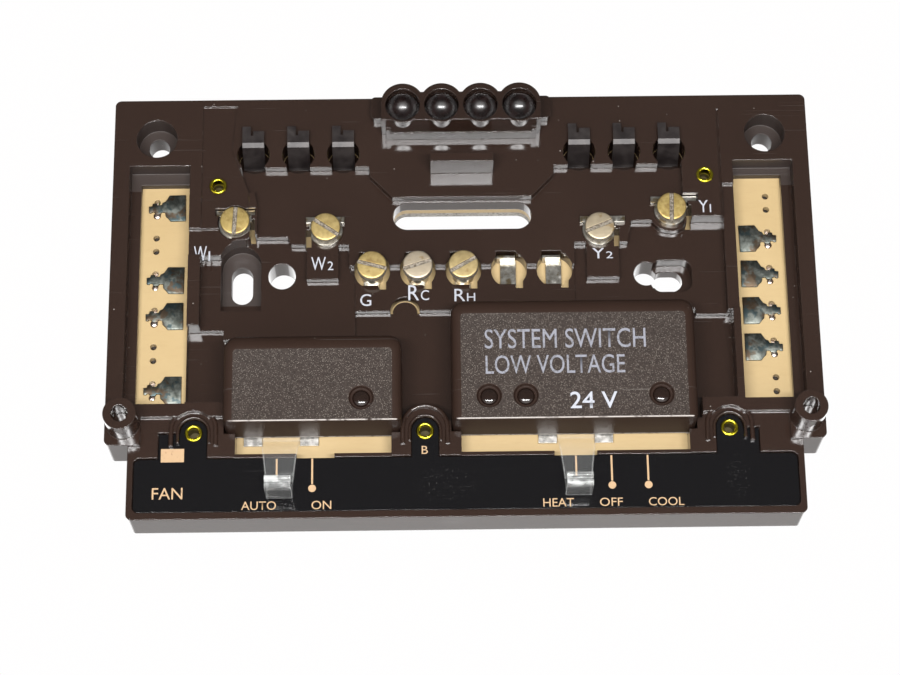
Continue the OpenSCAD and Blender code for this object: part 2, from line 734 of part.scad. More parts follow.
// Bent spring strip that rises through its opening and ends in two tips
module contact_finger(n) color([0.62, 0.62, 0.6]) upright() translate([finger_at(n), finger_z, 0]) {
    base = board_front;
    tip = body_t + 0.9;
    rotate([90, 0, 90]) translate([0, 0, -finger_w / 2]) linear_extrude(finger_w) polygon([
        [-1.2, base], [-0.4, base], [1.6, tip - 0.3], [2.3, tip],
        [3.6, tip], [3.6, tip + finger_t], [2, tip + finger_t], [1.1, tip],
        [-0.9, base + finger_t + 0.3], [-1.2, base + finger_t]]);
    slab(tip, tip + finger_t) {
        rect(-finger_w / 2, 3.5, -finger_w / 2 + 1.7, 5.6);
        rect(finger_w / 2 - 2.2, 3.5, finger_w / 2, 4.6);
    }
}

base_plate();
circuit_board();
label_panel();
wall_gasket();
lamp_housing();
fan_cover();
system_cover();
fan_lever();
system_lever();
fan_wiper();
system_wiper();
fan_detent_spring();
system_detent_spring();
brass_eyelets();
terminal_screws();
cover_rivets();
for (i = [0:3]) {
    side_contact(-1, left_contacts[i]);
    side_contact(1, right_contacts[i]);
    indicator_lamp(i);
}
for (n = [0:5]) contact_finger(n);
for (i = [0:8]) lug(i);
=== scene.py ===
import math

import bmesh
import bpy
from mathutils import Matrix, Vector


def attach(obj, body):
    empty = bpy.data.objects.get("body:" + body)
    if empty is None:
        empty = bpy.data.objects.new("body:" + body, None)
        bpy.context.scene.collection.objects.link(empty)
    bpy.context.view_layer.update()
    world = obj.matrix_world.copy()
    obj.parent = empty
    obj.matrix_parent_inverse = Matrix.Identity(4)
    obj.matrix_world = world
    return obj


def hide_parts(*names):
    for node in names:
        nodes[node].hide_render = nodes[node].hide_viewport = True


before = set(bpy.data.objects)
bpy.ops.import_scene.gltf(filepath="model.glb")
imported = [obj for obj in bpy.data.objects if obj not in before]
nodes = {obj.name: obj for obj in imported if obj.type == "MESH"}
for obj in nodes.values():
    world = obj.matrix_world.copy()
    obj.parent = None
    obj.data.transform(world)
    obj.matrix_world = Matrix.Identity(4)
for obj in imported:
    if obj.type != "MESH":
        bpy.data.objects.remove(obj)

scene = bpy.context.scene


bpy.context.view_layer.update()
print("frame loaded")


# the camera looks from below and in front, a little from the left
camera = {
    "lens": 101.5,       # mm, on a 36 mm wide sensor
    "climb": 20.19,      # degrees that the camera looks up
    "swing": 0.44,       # degrees that it looks to the right
    "roll": -0.78,       # degrees
    "distance": 0.509,   # m from the aim point
    "aim": (-0.0027, 0, -0.0041),
}


def makeCamera(c):
    climb, swing, roll = (math.radians(c[k]) for k in ("climb", "swing", "roll"))
    look = Vector((math.sin(swing) * math.cos(climb), math.cos(swing) * math.cos(climb), math.sin(climb)))
    side = look.cross(Vector((0, 0, 1))).normalized()
    up = side.cross(look)
    right = side * math.cos(roll) + up * math.sin(roll)
    top = up * math.cos(roll) - side * math.sin(roll)
    data = bpy.data.cameras.new("camera")
    data.lens = c["lens"]
    data.sensor_width = 36
    data.clip_start = 0.01
    obj = bpy.data.objects.new("camera", data)
    scene.collection.objects.link(obj)
    turn = Matrix((right, top, -look)).transposed().to_4x4()
    obj.matrix_world = Matrix.Translation(Vector(c["aim"]) - look * c["distance"]) @ turn
    scene.camera = obj
    return obj


cameraObject = makeCamera(camera)


class Value:
    # a shader socket that can stand in a sum
    def __init__(self, recipe, socket):
        self.recipe = recipe
        self.socket = socket

    def sum(self, operation, first, second):
        return self.recipe.add("ShaderNodeMath", {"operation": operation}, {0: first, 1: second})

    def __add__(self, other):
        return self.sum("ADD", self, other)

    def __radd__(self, other):
        return self.sum("ADD", other, self)

    def __sub__(self, other):
        return self.sum("SUBTRACT", self, other)

    def __rsub__(self, other):
        return self.sum("SUBTRACT", other, self)

    def __mul__(self, other):
        return self.sum("MULTIPLY", self, other)

    def __rmul__(self, other):
        return self.sum("MULTIPLY", other, self)

    def __truediv__(self, other):
        return self.sum("DIVIDE", self, other)

    def __rtruediv__(self, other):
        return self.sum("DIVIDE", other, self)

    def __pow__(self, other):
        return self.sum("POWER", self, other)

    def fade(self, low, high):
        # 0 at low, 1 at high, with a smooth change between them
        inputs = {"Value": self, "From Min": low, "From Max": high}
        return self.recipe.add("ShaderNodeMapRange", {"interpolation_type": "SMOOTHSTEP"}, inputs)


class Recipe:
    def __init__(self, name):
        self.material = bpy.data.materials.new(name)
        self.material.use_nodes = True
        self.tree = self.material.node_tree
        self.shader = self.tree.nodes["Principled BSDF"]
        self.place = self.add("ShaderNodeTexCoord", {}, {}, "Object")

    def connect(self, socket, value):
        if isinstance(value, Value):
            self.tree.links.new(value.socket, socket)
        elif socket.type == "RGBA" and len(value) == 3:
            socket.default_value = (*value, 1)
        else:
            socket.default_value = value

    def add(self, kind, settings, inputs, output=0):
        node = self.tree.nodes.new(kind)
        for key, value in settings.items():
            setattr(node, key, value)
        for key, value in inputs.items():
            self.connect(node.inputs[key], value)
        return Value(self, node.outputs[output])

    def moved(self, scale, turn=(0, 0, 0), shift=(0, 0, 0)):
        inputs = {"Vector": self.place, "Scale": scale, "Rotation": turn, "Location": shift}
        return self.add("ShaderNodeMapping", {}, inputs)

    def noise(self, scale, detail=2.0, roughness=0.5, at=None):
        inputs = {"Vector": at or self.place, "Scale": scale, "Detail": detail, "Roughness": roughness}
        return self.add("ShaderNodeTexNoise", {}, inputs, "Fac")

    def cells(self, scale, output="Distance"):
        return self.add("ShaderNodeTexVoronoi", {}, {"Vector": self.place, "Scale": scale}, output)

    def blend(self, factor, first, second):
        return self.add("ShaderNodeMix", {"data_type": "RGBA"}, {0: factor, 6: first, 7: second}, 2)

    def grey(self, colour):
        return self.add("ShaderNodeRGBToBW", {}, {0: colour})

    def along(self, axis):
        return self.add("ShaderNodeSeparateXYZ", {}, {0: self.place}, axis)

    def attribute(self, name):
        return self.add("ShaderNodeAttribute", {"attribute_name": name}, {}, "Fac")

    def bump(self, height, distance, strength=1.0, normal=None):
        inputs = {"Height": height, "Distance": distance, "Strength": strength}
        if normal:
            inputs["Normal"] = normal
        return self.add("ShaderNodeBump", {}, inputs)

    def rounded(self, radius):
        return self.add("ShaderNodeBevel", {"samples": 6}, {"Radius": radius})

    def leaning(self, edge):
        # 0 on flat faces, and more where the rounded edge turns away from the face
        flat = self.add("ShaderNodeNewGeometry", {}, {}, "Normal")
        settings = {"operation": "DOT_PRODUCT"}
        return 1 - self.add("ShaderNodeVectorMath", settings, {0: edge, 1: flat}, "Value")

    def specks(self, scale, size, share):
        # small round dots in a share of the cells
        inside = self.cells(scale).fade(size, size * 0.6)
        chosen = self.grey(self.cells(scale, "Color")).fade(1 - share, 1 - share + 0.02)
        return inside * chosen

    def scratches(self, turn, along, across, amount):
        # long thin marks in one direction on the front of the plate
        at = self.moved((along, 30, across), (0, math.radians(turn), 0))
        line = self.noise(1.0, 1.0, 0.5, at).fade(1 - amount, 1.04 - amount)
        patch = self.noise(70.0, 1.0, 0.5, self.moved((1, 1, 1), shift=(turn, along, 0))).fade(0.5, 0.62)
        return line * patch

    def finish(self, **values):
        for name, value in values.items():
            key = "".join(" " + c if c.isupper() else c for c in name).title()
            self.connect(self.shader.inputs[key.replace("Ior", "IOR")], value)
        return self.material


plastic = {
    "colour": (0.0178, 0.0100, 0.0073),
    "grey": (0.060, 0.053, 0.050),      # scratches and rubbed edges
    "dust": (0.16, 0.145, 0.13),
    "cloud": (0.86, 1.16),              # darkest and lightest share of the colour
    "gloss": 0.10,                      # roughness of clean plastic
    "matte": 0.38,                      # roughness added on matt walls
    "soft": 0.0002,                     # m, border of a matt wall
    "edge": 0.00028,                    # m, radius of the moulded edges
}


coverEdgeHighlight = {        # m, painted highlight lines on the low side of the covers: at the front, and over the opening
    "front": -0.0262, "opening": -0.0267, "half": 0.00012,
    "frontDepth": (-0.0146, -0.0148), "openingDepth": (-0.0064, -0.0061),
    "colour": (0.34, 0.31, 0.29),
}


# painted highlight: pale lines along the low front edge of each cover and along the edge over its opening,
# broken up by noise
def paintedEdgeHighlights(r, base, e):
    y, z, half = r.along("Y"), r.along("Z"), e["half"]
    front = z.fade(e["front"] - half * 2, e["front"] - half)
    front = front * z.fade(e["front"] + half * 2, e["front"] + half) * y.fade(*e["frontDepth"])
    opening = z.fade(e["opening"] + half * 2, e["opening"] + half) * y.fade(*e["openingDepth"])
    patch = r.noise(500, 2.0, 0.6).fade(0.25, 0.5)
    return r.blend((front + opening) * patch, base, e["colour"])


matteBoxes = [      # m: left, right, low, high and level of walls that the mould left matt
    (-0.0672, -0.0540, 0.0258, 0.0300, 0.0099),
    (0.0540, 0.0672, 0.0258, 0.0300, 0.0099),
    (-0.0486, -0.0398, 0.0020, 0.0140, 0.0062),
    (-0.0660, -0.0568, 0.0310, 0.0402, 0.0099),
    (0.0568, 0.0660, 0.0310, 0.0402, 0.0099),
]


def makePlastic(name, p, tint=1.0, marks=0.55, gloss=0.0, shine=0.5, edgeWearAndHighlight=None):
    r = Recipe(name)
    marked = r.scratches(12, 25, 2600, 0.30) + r.scratches(-63, 22, 2300, 0.29)
    marked = ((marked + r.scratches(78, 30, 2500, 0.28)) * marks).fade(0.0, 1.2)
    dust = r.specks(900, 0.16, 0.10) + r.specks(2100, 0.22, 0.06)
    haze = r.noise(42, 3.0, 0.6)
    edge = r.rounded(p["edge"])
    worn = r.leaning(edge).fade(0.02, 0.30) * r.noise(600, 2.0).fade(0.35, 0.7)
    dark, light = (tuple(v * tint * share for v in p["colour"]) for share in p["cloud"])
    base = r.blend(haze, dark, light)
    base = r.blend(marked.fade(0.0, 1.6), base, p["grey"])
    # rubbed edges; on the covers the paler colour given here is also a painted edge highlight
    base = r.blend((worn * 0.8).fade(0.0, 1.3), base, edgeWearAndHighlight or p["grey"])
    base = r.blend((dust * 0.8).fade(0.0, 1.0), base, p["dust"])
    if edgeWearAndHighlight:
        # painted highlight lines along the low edges of the covers
        base = paintedEdgeHighlights(r, base, coverEdgeHighlight)
    matte = 0.0
    soft = p["soft"]
    x, y, z = r.along("X"), r.along("Y"), r.along("Z")
    for left, right, low, high, level in matteBoxes:
        inside = x.fade(left - soft, left) * x.fade(right + soft, right) * y.fade(-level, soft / 2 - level)
        matte = inside * z.fade(low - soft, low) * z.fade(high + soft, high) + matte
    rough = p["gloss"] + gloss + haze.fade(0.35, 0.8) * 0.06
    rough = rough + marked * 0.10 + dust * 0.35 + matte * p["matte"]
    ripple = r.noise(120, 2.0) * 0.4 + marked * 0.02
    return r.finish(
        baseColor=base, roughness=rough, specularIorLevel=shine,
        normal=r.bump(ripple, 0.00006, 0.2, edge))


basePlastic = makePlastic("base plastic", plastic)
housingPlastic = makePlastic("housing plastic", plastic, 0.8, 0.6)
# covers: paler rubbed edges that are partly a painted edge highlight, and painted highlight lines on the
# low edges
coverPlastic = makePlastic("cover plastic", plastic, 1.1, 0.8, 0.34, 0.08, (0.15, 0.135, 0.125))
rivetPlastic = makePlastic("rivet plastic", plastic, 0.6, 0.3)


def makeGrain(name):
    # spark-eroded face of the switch covers
    r = Recipe(name)
    fine = r.noise(3600, 2.0, 0.6)
    coarse = r.noise(1500, 3.0, 0.6)
    # painted glints: pale specks in the colour stand in for sparkle off the grain; they are also a little
    # glossier
    glintSpecks = r.specks(4300, 0.46, 0.42) + r.specks(3100, 0.28, 0.22)
    worn = r.scratches(20, 30, 1800, 0.27)
    mottle = (fine * 0.6 + coarse * 0.4).fade(0.34, 0.66)
    base = r.blend(mottle, (0.0150, 0.0104, 0.0084), (0.0330, 0.0245, 0.0205))
    base = r.blend((glintSpecks * 0.6).fade(0.0, 1.0), base, (0.16, 0.14, 0.12))
    # painted highlight lines along the low edges of the covers
    base = paintedEdgeHighlights(r, base, coverEdgeHighlight)
    base = r.blend(worn * 0.4, base, (0.10, 0.09, 0.08))
    return r.finish(
        baseColor=base, roughness=0.60 - glintSpecks * 0.2, specularIorLevel=0.16,
        normal=r.bump(fine + coarse * 0.4, 0.00008, 0.7))


coverGrain = makeGrain("cover grain")


def makeBoard(name):
    r = Recipe(name)
    fibre = r.noise(1.0, 3.0, 0.6, r.moved((260, 260, 1500)))
    cloud = r.noise(55, 3.0, 0.55)
    spots = r.specks(700, 0.14, 0.08)
    base = r.blend(cloud, (0.315, 0.222, 0.103), (0.370, 0.272, 0.136))
    base = r.blend(fibre.fade(0.45, 0.8) * 0.3, base, (0.29, 0.20, 0.09))
    base = r.blend(spots * 0.5, base, (0.16, 0.10, 0.05))
    return r.finish(
        baseColor=base, roughness=0.42 + cloud * 0.16,
        normal=r.bump(fibre, 0.00003, 0.3, r.rounded(0.00012)))


boardFinish = makeBoard("circuit board")

scuffs = [          # centre x and z in m, half width, half height, strength
    (-0.0035, -0.0375, 0.0075, 0.0042, 0.8),
    (0.0525, -0.0365, 0.0026, 0.0050, 1.0),
    (0.0410, -0.0320, 0.0080, 0.0030, 0.3),
    (-0.0200, -0.0365, 0.0100, 0.0040, 0.25),
]


def makeLegend(name):
    r = Recipe(name)
    x = r.along("X")
    z = r.along("Z")
    patch = 0.0
    for cx, cz, wide, high, strength in scuffs:
        far = ((x - cx) / wide) ** 2.0 + ((z - cz) / high) ** 2.0
        patch = far.fade(1.3, 0.2) * strength + patch
    fine = r.noise(1.0, 2.0, 0.6, r.moved((500, 100, 4200), (0, math.radians(-70), 0))).fade(0.52, 0.68)
    across = r.noise(1.0, 2.0, 0.6, r.moved((350, 100, 3600), (0, math.radians(-12), 0))).fade(0.58, 0.72)
    dots = r.specks(4200, 0.36, 0.34) + r.specks(2600, 0.20, 0.16)
    scuffed = ((fine * 0.35 + across * 0.15 + dots * 1.3) * patch).fade(0.0, 1.1)
    lines = r.scratches(-38, 26, 2700, 0.31) + r.scratches(66, 24, 2500, 0.29)
    dust = r.specks(1300, 0.15, 0.10)
    pale = (scuffed * 0.85 + lines * 0.12).fade(0.0, 1.0)
    base = r.blend(pale, (0.0042, 0.0040, 0.0044), (0.085, 0.082, 0.078))
    base = r.blend(dust * 0.7, base, (0.13, 0.12, 0.11))
    rough = 0.075 + scuffed * 0.32 + dust * 0.4 + r.noise(60, 2.0) * 0.03
    return r.finish(
        baseColor=base, roughness=rough, specularIorLevel=0.3,
        normal=r.bump(r.noise(240, 2.0) + scuffed * 0.2, 0.00003, 0.3, r.rounded(0.0002)))


legendFinish = makeLegend("legend panel")


def makeMetal(name, dark, light, rough, scale, edge, brush=0.0, soil=None, rusty=None, metal=1.0):
    # bare or plated metal with patchy tarnish
    r = Recipe(name)
    patch = r.noise(scale, 4.0, 0.6)
    fine = r.noise(1.0, 2.0, 0.6, r.moved((700, 700, 6000), (0, math.radians(35), 0)))
    base = r.blend(patch.fade(0.32, 0.68), dark, light)
    if soil:
        stain = r.noise(scale * 0.45, 3.0, 0.6, r.moved((1, 1, 1), shift=(3, 1, 2)))
        base = r.blend(stain.fade(0.50, 0.62), base, soil)
    if rusty:
        stain = r.noise(scale * 0.6, 3.0, 0.6, r.moved((1, 1, 1), shift=(7, 5, 6)))
        base = r.blend(stain.fade(0.53, 0.62), base, rusty)
    rough = rough + patch.fade(0.55, 0.75) * 0.14 + fine * brush * 0.1
    return r.finish(
        baseColor=base, metallic=metal, roughness=rough,
        normal=r.bump(patch * 0.6 + fine * brush, 0.00004, 0.5, r.rounded(edge)))


def makeScrewBrass(name, top):
    # yellowed head; grey dirt in the slot, and painted shade down the side of the head, both from one depth
    # mask
    r = Recipe(name)
    patch = r.noise(1000, 4.0, 0.6)
    brushed = r.noise(1.0, 2.0, 0.6, r.moved((500, 700, 6000), (0, math.radians(35), 0)))
    deep = r.along("Y").fade(top + 0.00012, top + 0.0004)
    base = r.blend(patch.fade(0.3, 0.7), (0.40, 0.285, 0.095), (0.52, 0.395, 0.155))
    base = r.blend(r.attribute("tone"), base, (0.45, 0.39, 0.31))
    base = r.blend(r.noise(520, 3.0, 0.6).fade(0.56, 0.68) * 0.7, base, (0.30, 0.19, 0.075))
    dirtAndShade = r.blend(r.noise(2400, 3.0, 0.6).fade(0.4, 0.6), (0.10, 0.082, 0.058), (0.27, 0.24, 0.20))
    # below the top face: dirt in the slot, and painted shade down the side of the head
    base = r.blend(deep, base, dirtAndShade)
    return r.finish(
        baseColor=base, metallic=0.92 - deep * 0.35, roughness=0.40 + patch * 0.12 + deep * 0.15,
        normal=r.bump(patch + brushed * 0.6, 0.00004, 0.5, r.rounded(0.0001)))


screwBrass = makeScrewBrass("terminal screw brass", -0.0109)


def makeEyelet(name):
    # bright rolled rim, and painted shade in the bore that gets darker with depth
    r = Recipe(name)
    patch = r.noise(500, 3.0, 0.6)
    # painted shade: the bore turns dark below the rim
    deep = r.along("Y").fade(-0.0087, -0.0078) * r.along("Y").fade(-0.0095, -0.0092)
    base = r.blend(patch.fade(0.32, 0.68), (0.40, 0.33, 0.018), (0.60, 0.52, 0.035))
    base = r.blend(deep, base, (0.045, 0.034, 0.006))
    return r.finish(
        baseColor=base, metallic=1 - deep * 0.7, roughness=0.2 + deep * 0.35,
        normal=r.bump(patch, 0.00003, 0.4))


eyeletBrass = makeEyelet("eyelet brass")
wiperMetal = makeMetal("wiper silver", (0.30, 0.29, 0.27), (0.62, 0.60, 0.57), 0.30, 900.0, 0.0001, 0.4)
springSteel = makeMetal("spring steel", (0.36, 0.35, 0.33), (0.52, 0.51, 0.48), 0.24, 500.0, 0.0001, 0.5)
fingerMetal = makeMetal(
    "finger metal", (0.013, 0.010, 0.010), (0.030, 0.025, 0.024), 0.32, 350.0, 0.00010, 0.2, metal=0.35)
lugMetal = makeMetal(
    "lug tin", (0.30, 0.28, 0.24), (0.56, 0.54, 0.49), 0.30, 900.0, 0.00014, 0.3, soil=(0.22, 0.17, 0.10))
contactTin = makeMetal(
    "tarnished tin", (0.060, 0.066, 0.058), (0.155, 0.165, 0.150), 0.40, 700.0, 0.00014, 0.5,
    soil=(0.080, 0.058, 0.040), rusty=(0.050, 0.068, 0.070))
solderFinish = makeMetal("solder", (0.40, 0.31, 0.27), (0.68, 0.60, 0.55), 0.26, 1100.0, 0.00008)


def makeTracks(name):
    # tinned copper under a thin green lacquer
    r = Recipe(name)
    cloud = r.noise(240, 3.0, 0.6)
    base = r.blend(cloud, (0.11, 0.14, 0.045), (0.20, 0.22, 0.075))
    base = r.blend(r.noise(1300, 2.0).fade(0.62, 0.72) * 0.5, base, (0.40, 0.26, 0.13))
    return r.finish(
        baseColor=base, metallic=0.55, roughness=0.30 + cloud * 0.2,
        coatWeight=0.5, normal=r.bump(cloud + r.noise(2600, 2.0) * 0.3, 0.00003, 0.5))


trackFinish = makeTracks("lacquered tracks")


def makeGasket(name):
    r = Recipe(name)
    pores = r.cells(2200).fade(0.1, 0.6)
    cloud = r.noise(300, 3.0)
    base = r.blend(pores, (0.10, 0.095, 0.085), (0.30, 0.285, 0.26))
    base = r.blend(cloud.fade(0.5, 0.8) * 0.5, base, (0.20, 0.17, 0.14))
    return r.finish(
        baseColor=base, roughness=0.85 + cloud * 0.1,
        normal=r.bump(pores + cloud, 0.00025, 0.7))


gasketFinish = makeGasket("foam gasket")


def makeLamp(name):
    # deep red lens that looks black when it isn't lit
    r = Recipe(name)
    cloud = r.noise(500, 3.0)
    rim = r.cells(900).fade(0.2, 0.8)
    base = r.blend(cloud.fade(0.35, 0.7), (0.0030, 0.0016, 0.0015), (0.0075, 0.0030, 0.0026))
    base = r.blend(r.specks(1800, 0.2, 0.12) * 0.6, base, (0.12, 0.09, 0.08))
    return r.finish(
        baseColor=base, roughness=0.20 + cloud * 0.10 + rim * 0.05, coatWeight=0.1,
        normal=r.bump(cloud, 0.00004, 0.3, r.rounded(0.00015)))


lampFinish = makeLamp("unlit lamp lens")


def makeClear(name):
    # thin clear styrene; painted highlights: the edges and the ribbed grip are made paler and more opaque
    r = Recipe(name)
    cloud = r.noise(350, 3.0)
    marks = r.scratches(25, 60, 3800, 0.32) + r.specks(1500, 0.16, 0.12)
    edge = r.rounded(0.00022)
    rim = r.leaning(edge).fade(0.005, 0.12)
    grip = r.along("Y").fade(-0.0135, -0.0162)
    glint = r.noise(1.0, 3.0, 0.6, r.moved((260, 260, 520))).fade(0.42, 0.66)
    base = r.blend(cloud, (0.50, 0.51, 0.50), (0.62, 0.63, 0.62))
    # painted highlights: opacity rises on the rounded edges and in noisy bands on the grip, showing the
    # pale base colour
    alpha = 0.035 + rim * 0.5 + marks * 0.12 + grip * (0.12 + glint * 0.42)
    return r.finish(
        baseColor=base, roughness=0.05 + marks * 0.25, alpha=alpha, ior=1.49,
        normal=r.bump(r.noise(420, 2.0) + marks * 0.1, 0.00004, 0.4, edge))


clearFinish = makeClear("clear lever plastic")


def makeInk(name, colour, worn, gaps):
    r = Recipe(name)
    thin = r.noise(1900, 3.0, 0.65)
    cloud = r.noise(400, 2.0)
    base = r.blend(thin.fade(gaps, gaps + 0.16), colour, worn)
    return r.finish(
        baseColor=base, roughness=0.45 + cloud * 0.2, normal=r.bump(thin, 0.00002, 0.5))


whiteInk = makeInk("white ink", (0.30, 0.31, 0.345), (0.15, 0.15, 0.165), 0.56)
greyInk = makeInk("grey ink", (0.165, 0.168, 0.195), (0.085, 0.083, 0.09), 0.50)
goldInk = makeInk("gold ink", (0.33, 0.215, 0.115), (0.20, 0.12, 0.06), 0.58)
print("finishes made")

nodeFinish = {
    "base_plate": basePlastic, "circuit_board": boardFinish, "label_panel": legendFinish,
    "wall_gasket": gasketFinish, "lamp_housing": housingPlastic,
    "fan_cover": coverPlastic, "system_cover": coverPlastic,
    "fan_lever": clearFinish, "system_lever": clearFinish,
    "fan_wiper": wiperMetal, "system_wiper": wiperMetal,
    "fan_detent_spring": springSteel, "system_detent_spring": springSteel,
    "brass_eyelets": eyeletBrass, "terminal_screws": screwBrass, "cover_rivets": rivetPlastic,
    "left_contact": contactTin, "right_contact": contactTin, "contact_finger": fingerMetal,
    "lug": lugMetal, "indicator_lamp": lampFinish,
}

for nodeName, obj in nodes.items():
    key = nodeName if nodeName in nodeFinish else nodeName.rsplit("_", 1)[0]
    key = "lug" if nodeName.startswith("lug_") else key
    for materialSlot in obj.material_slots:
        materialSlot.material = nodeFinish[key]
print("node finishes set")


# shapes are in mm on the face of the plate: x right, y up, z out of the wall
upright = Matrix.Rotation(math.radians(90), 4, "X") @ Matrix.Scale(0.001, 4)
weld = 0.0004       # mm, points this close are one point
pole = 0.02         # mm, the smallest ring at an axis
sharpAngle = 32     # degrees, edges sharper than this stay crisp


def circle(radius, level, count, centre):
    x, y = centre
    angles = (2 * math.pi * i / count for i in range(count))
    return [(x + radius * math.cos(a), y + radius * math.sin(a), level) for a in angles]


class Shape:
    def __init__(self):
        self.points = []
        self.faces = []
        self.kinds = []

    def loft(self, rings, ends=(True, True), endKind=0):
        start = len(self.points)
        count = len(rings[0])
        for ring in rings:
            self.points += [tuple(p) for p in ring]
        for i in range(len(rings) - 1):
            for j in range(count):
                a = start + i * count + j
                b = start + i * count + (j + 1) % count
                self.faces.append((a, b, b + count, a + count))
                self.kinds.append(0)
        last = start + (len(rings) - 1) * count
        caps = [tuple(reversed(range(start, start + count)))] * ends[0]
        caps += [tuple(range(last, last + count))] * ends[1]
        self.faces += caps
        self.kinds += [endKind] * len(caps)
        return self

    def lathe(self, profile, count, centre=(0, 0)):
        return self.loft([circle(r, z, count, centre) for r, z in profile])

    def prism(self, outline, low, high):
        return self.loft([[(x, y, z) for x, y in outline] for z in (low, high)])

    def mesh(self, name, finishes, sharp=sharpAngle):
        mesh = bpy.data.meshes.new(name)
        mesh.from_pydata(self.points, [], self.faces)
        for finish in finishes:
            mesh.materials.append(finish)
        mesh.polygons.foreach_set("material_index", self.kinds)
        return tidied(mesh, sharp)


def tidied(mesh, sharp=sharpAngle):
    bm = bmesh.new()
    bm.from_mesh(mesh)
    bmesh.ops.remove_doubles(bm, verts=bm.verts, dist=weld)
    bmesh.ops.recalc_face_normals(bm, faces=bm.faces)
    for face in bm.faces:
        face.smooth = True
    bm.to_mesh(mesh)
    bm.free()
    mesh.set_sharp_from_angle(angle=math.radians(sharp))
    return mesh


def baked(obj):
    # the evaluated mesh of an object whose modifiers are done with
    graph = bpy.context.evaluated_depsgraph_get()
    mesh = bpy.data.meshes.new_from_object(obj.evaluated_get(graph), depsgraph=graph)
    mesh.name = obj.name
    bpy.data.objects.remove(obj)
    return mesh


def held(name, mesh):
    obj = bpy.data.objects.new(name, mesh)
    scene.collection.objects.link(obj)
    return obj


def cut(mesh, tool):
    # the mesh with the tool's shape taken out of it
    obj = held(mesh.name, mesh)
    cutter = held("cutter", tool)
    modifier = obj.modifiers.new("cut", "BOOLEAN")
    modifier.object = cutter
    modifier.solver = "EXACT"
    result = baked(obj)
    bpy.data.objects.remove(cutter)
    return tidied(result)


def softened(mesh, width):
    obj = held(mesh.name, mesh)
    modifier = obj.modifiers.new("soft edges", "BEVEL")
    modifier.width = width
    modifier.segments = 2
    modifier.limit_method = "ANGLE"
    modifier.angle_limit = math.radians(30)
    return tidied(baked(obj))


def joined(name, meshes):
    # several meshes as one, each with its own finish
    bm = bmesh.new()
    finishes = []
    for mesh in meshes:
        start = len(bm.faces)
        bm.from_mesh(mesh)
        bm.faces.ensure_lookup_table()
        order = []
        for finish in mesh.materials:
            if finish not in finishes:
                finishes.append(finish)
            order.append(finishes.index(finish))
        for face in bm.faces[start:]:
            face.material_index = order[face.material_index]
    result = bpy.data.meshes.new(name)
    bm.to_mesh(result)
    bm.free()
    for finish in finishes:
        result.materials.append(finish)
    return result


def stand(name, mesh, body, slotName, *replaced):
    # a finished mesh takes its place on the plate, and rides on its body
    mesh.transform(upright)
    mesh.update()
    obj = held(name, mesh)
    if replaced:
        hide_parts(*replaced)
    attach(obj, body)
    return obj


def wire(tree, kind, settings=(), **inputs):
    node = tree.nodes.new(kind)
    for key, value in dict(settings).items():
        setattr(node, key, value)
    for key, value in inputs.items():
        socket = node.inputs[key.replace("_", " ")]
        if isinstance(value, bpy.types.NodeSocket):
            tree.links.new(value, socket)
        else:
            socket.default_value = value
    return node


def newTree(name, sockets):
    tree = bpy.data.node_groups.new(name, "GeometryNodeTree")
    for label, kind in sockets:
        tree.interface.new_socket(name=label, in_out="INPUT", socket_type="NodeSocket" + kind)
    tree.interface.new_socket(name="Geometry", in_out="OUTPUT", socket_type="NodeSocketGeometry")
    return tree, tree.nodes.new("NodeGroupInput").outputs


def swept(tree, path, section):
    kind = "GeometryNodeCurveToMesh"
    return wire(tree, kind, Curve=path.outputs[0], Profile_Curve=section.outputs[0], Fill_Caps=True)


def ended(tree, given, last):
    # every tree ends in real geometry with its finish set
    real = wire(tree, "GeometryNodeRealizeInstances", Geometry=last.outputs[0])
    coloured = wire(tree, "GeometryNodeSetMaterial", Geometry=real.outputs[0], Material=given["Finish"])
    wire(tree, "NodeGroupOutput", Geometry=coloured.outputs[0])
    return tree


def makeRepeatTree():
    # a shape on every point, turned by the point's own angle, a little smaller at random
    tree, given = newTree("set out", (
        ("Geometry", "Geometry"), ("Shape", "Object"), ("Finish", "Material"),
        ("Spread", "Float"), ("Seed", "Int")))
    turn = wire(tree, "GeometryNodeInputNamedAttribute", {"data_type": "FLOAT"}, Name="turn")
    spin = wire(tree, "ShaderNodeCombineXYZ", Z=turn.outputs["Attribute"])
    shape = wire(tree, "GeometryNodeObjectInfo", Object=given["Shape"])
    least = wire(tree, "ShaderNodeMath", {"operation": "SUBTRACT"})
    least.inputs[0].default_value = 1
    tree.links.new(given["Spread"], least.inputs[1])
    size = wire(tree, "FunctionNodeRandomValue", {"data_type": "FLOAT"}, Seed=given["Seed"])
    tree.links.new(least.outputs[0], size.inputs[2])
    size.inputs[3].default_value = 1
    copies = wire(
        tree, "GeometryNodeInstanceOnPoints", Points=given["Geometry"], Instance=shape.outputs["Geometry"],
        Rotation=spin.outputs[0], Scale=size.outputs[1])
    return ended(tree, given, copies)


def makeRibbonTree():
    # flat strips along a path, with rounded corners
    tree, given = newTree("ribbons", (
        ("Geometry", "Geometry"), ("Width", "Float"), ("Thickness", "Float"), ("Corner", "Float"),
        ("Finish", "Material")))
    path = wire(tree, "GeometryNodeMeshToCurve", Mesh=given["Geometry"])
    bent = wire(
        tree, "GeometryNodeFilletCurve", {"mode": "POLY"}, Curve=path.outputs[0], Radius=given["Corner"],
        Count=4, Limit_Radius=True)
    level = wire(tree, "GeometryNodeSetCurveNormal", {"mode": "Z_UP"}, Curve=bent.outputs[0])
    section = wire(
        tree, "GeometryNodeCurvePrimitiveQuadrilateral", Width=given["Width"], Height=given["Thickness"])
    return ended(tree, given, swept(tree, level, section))


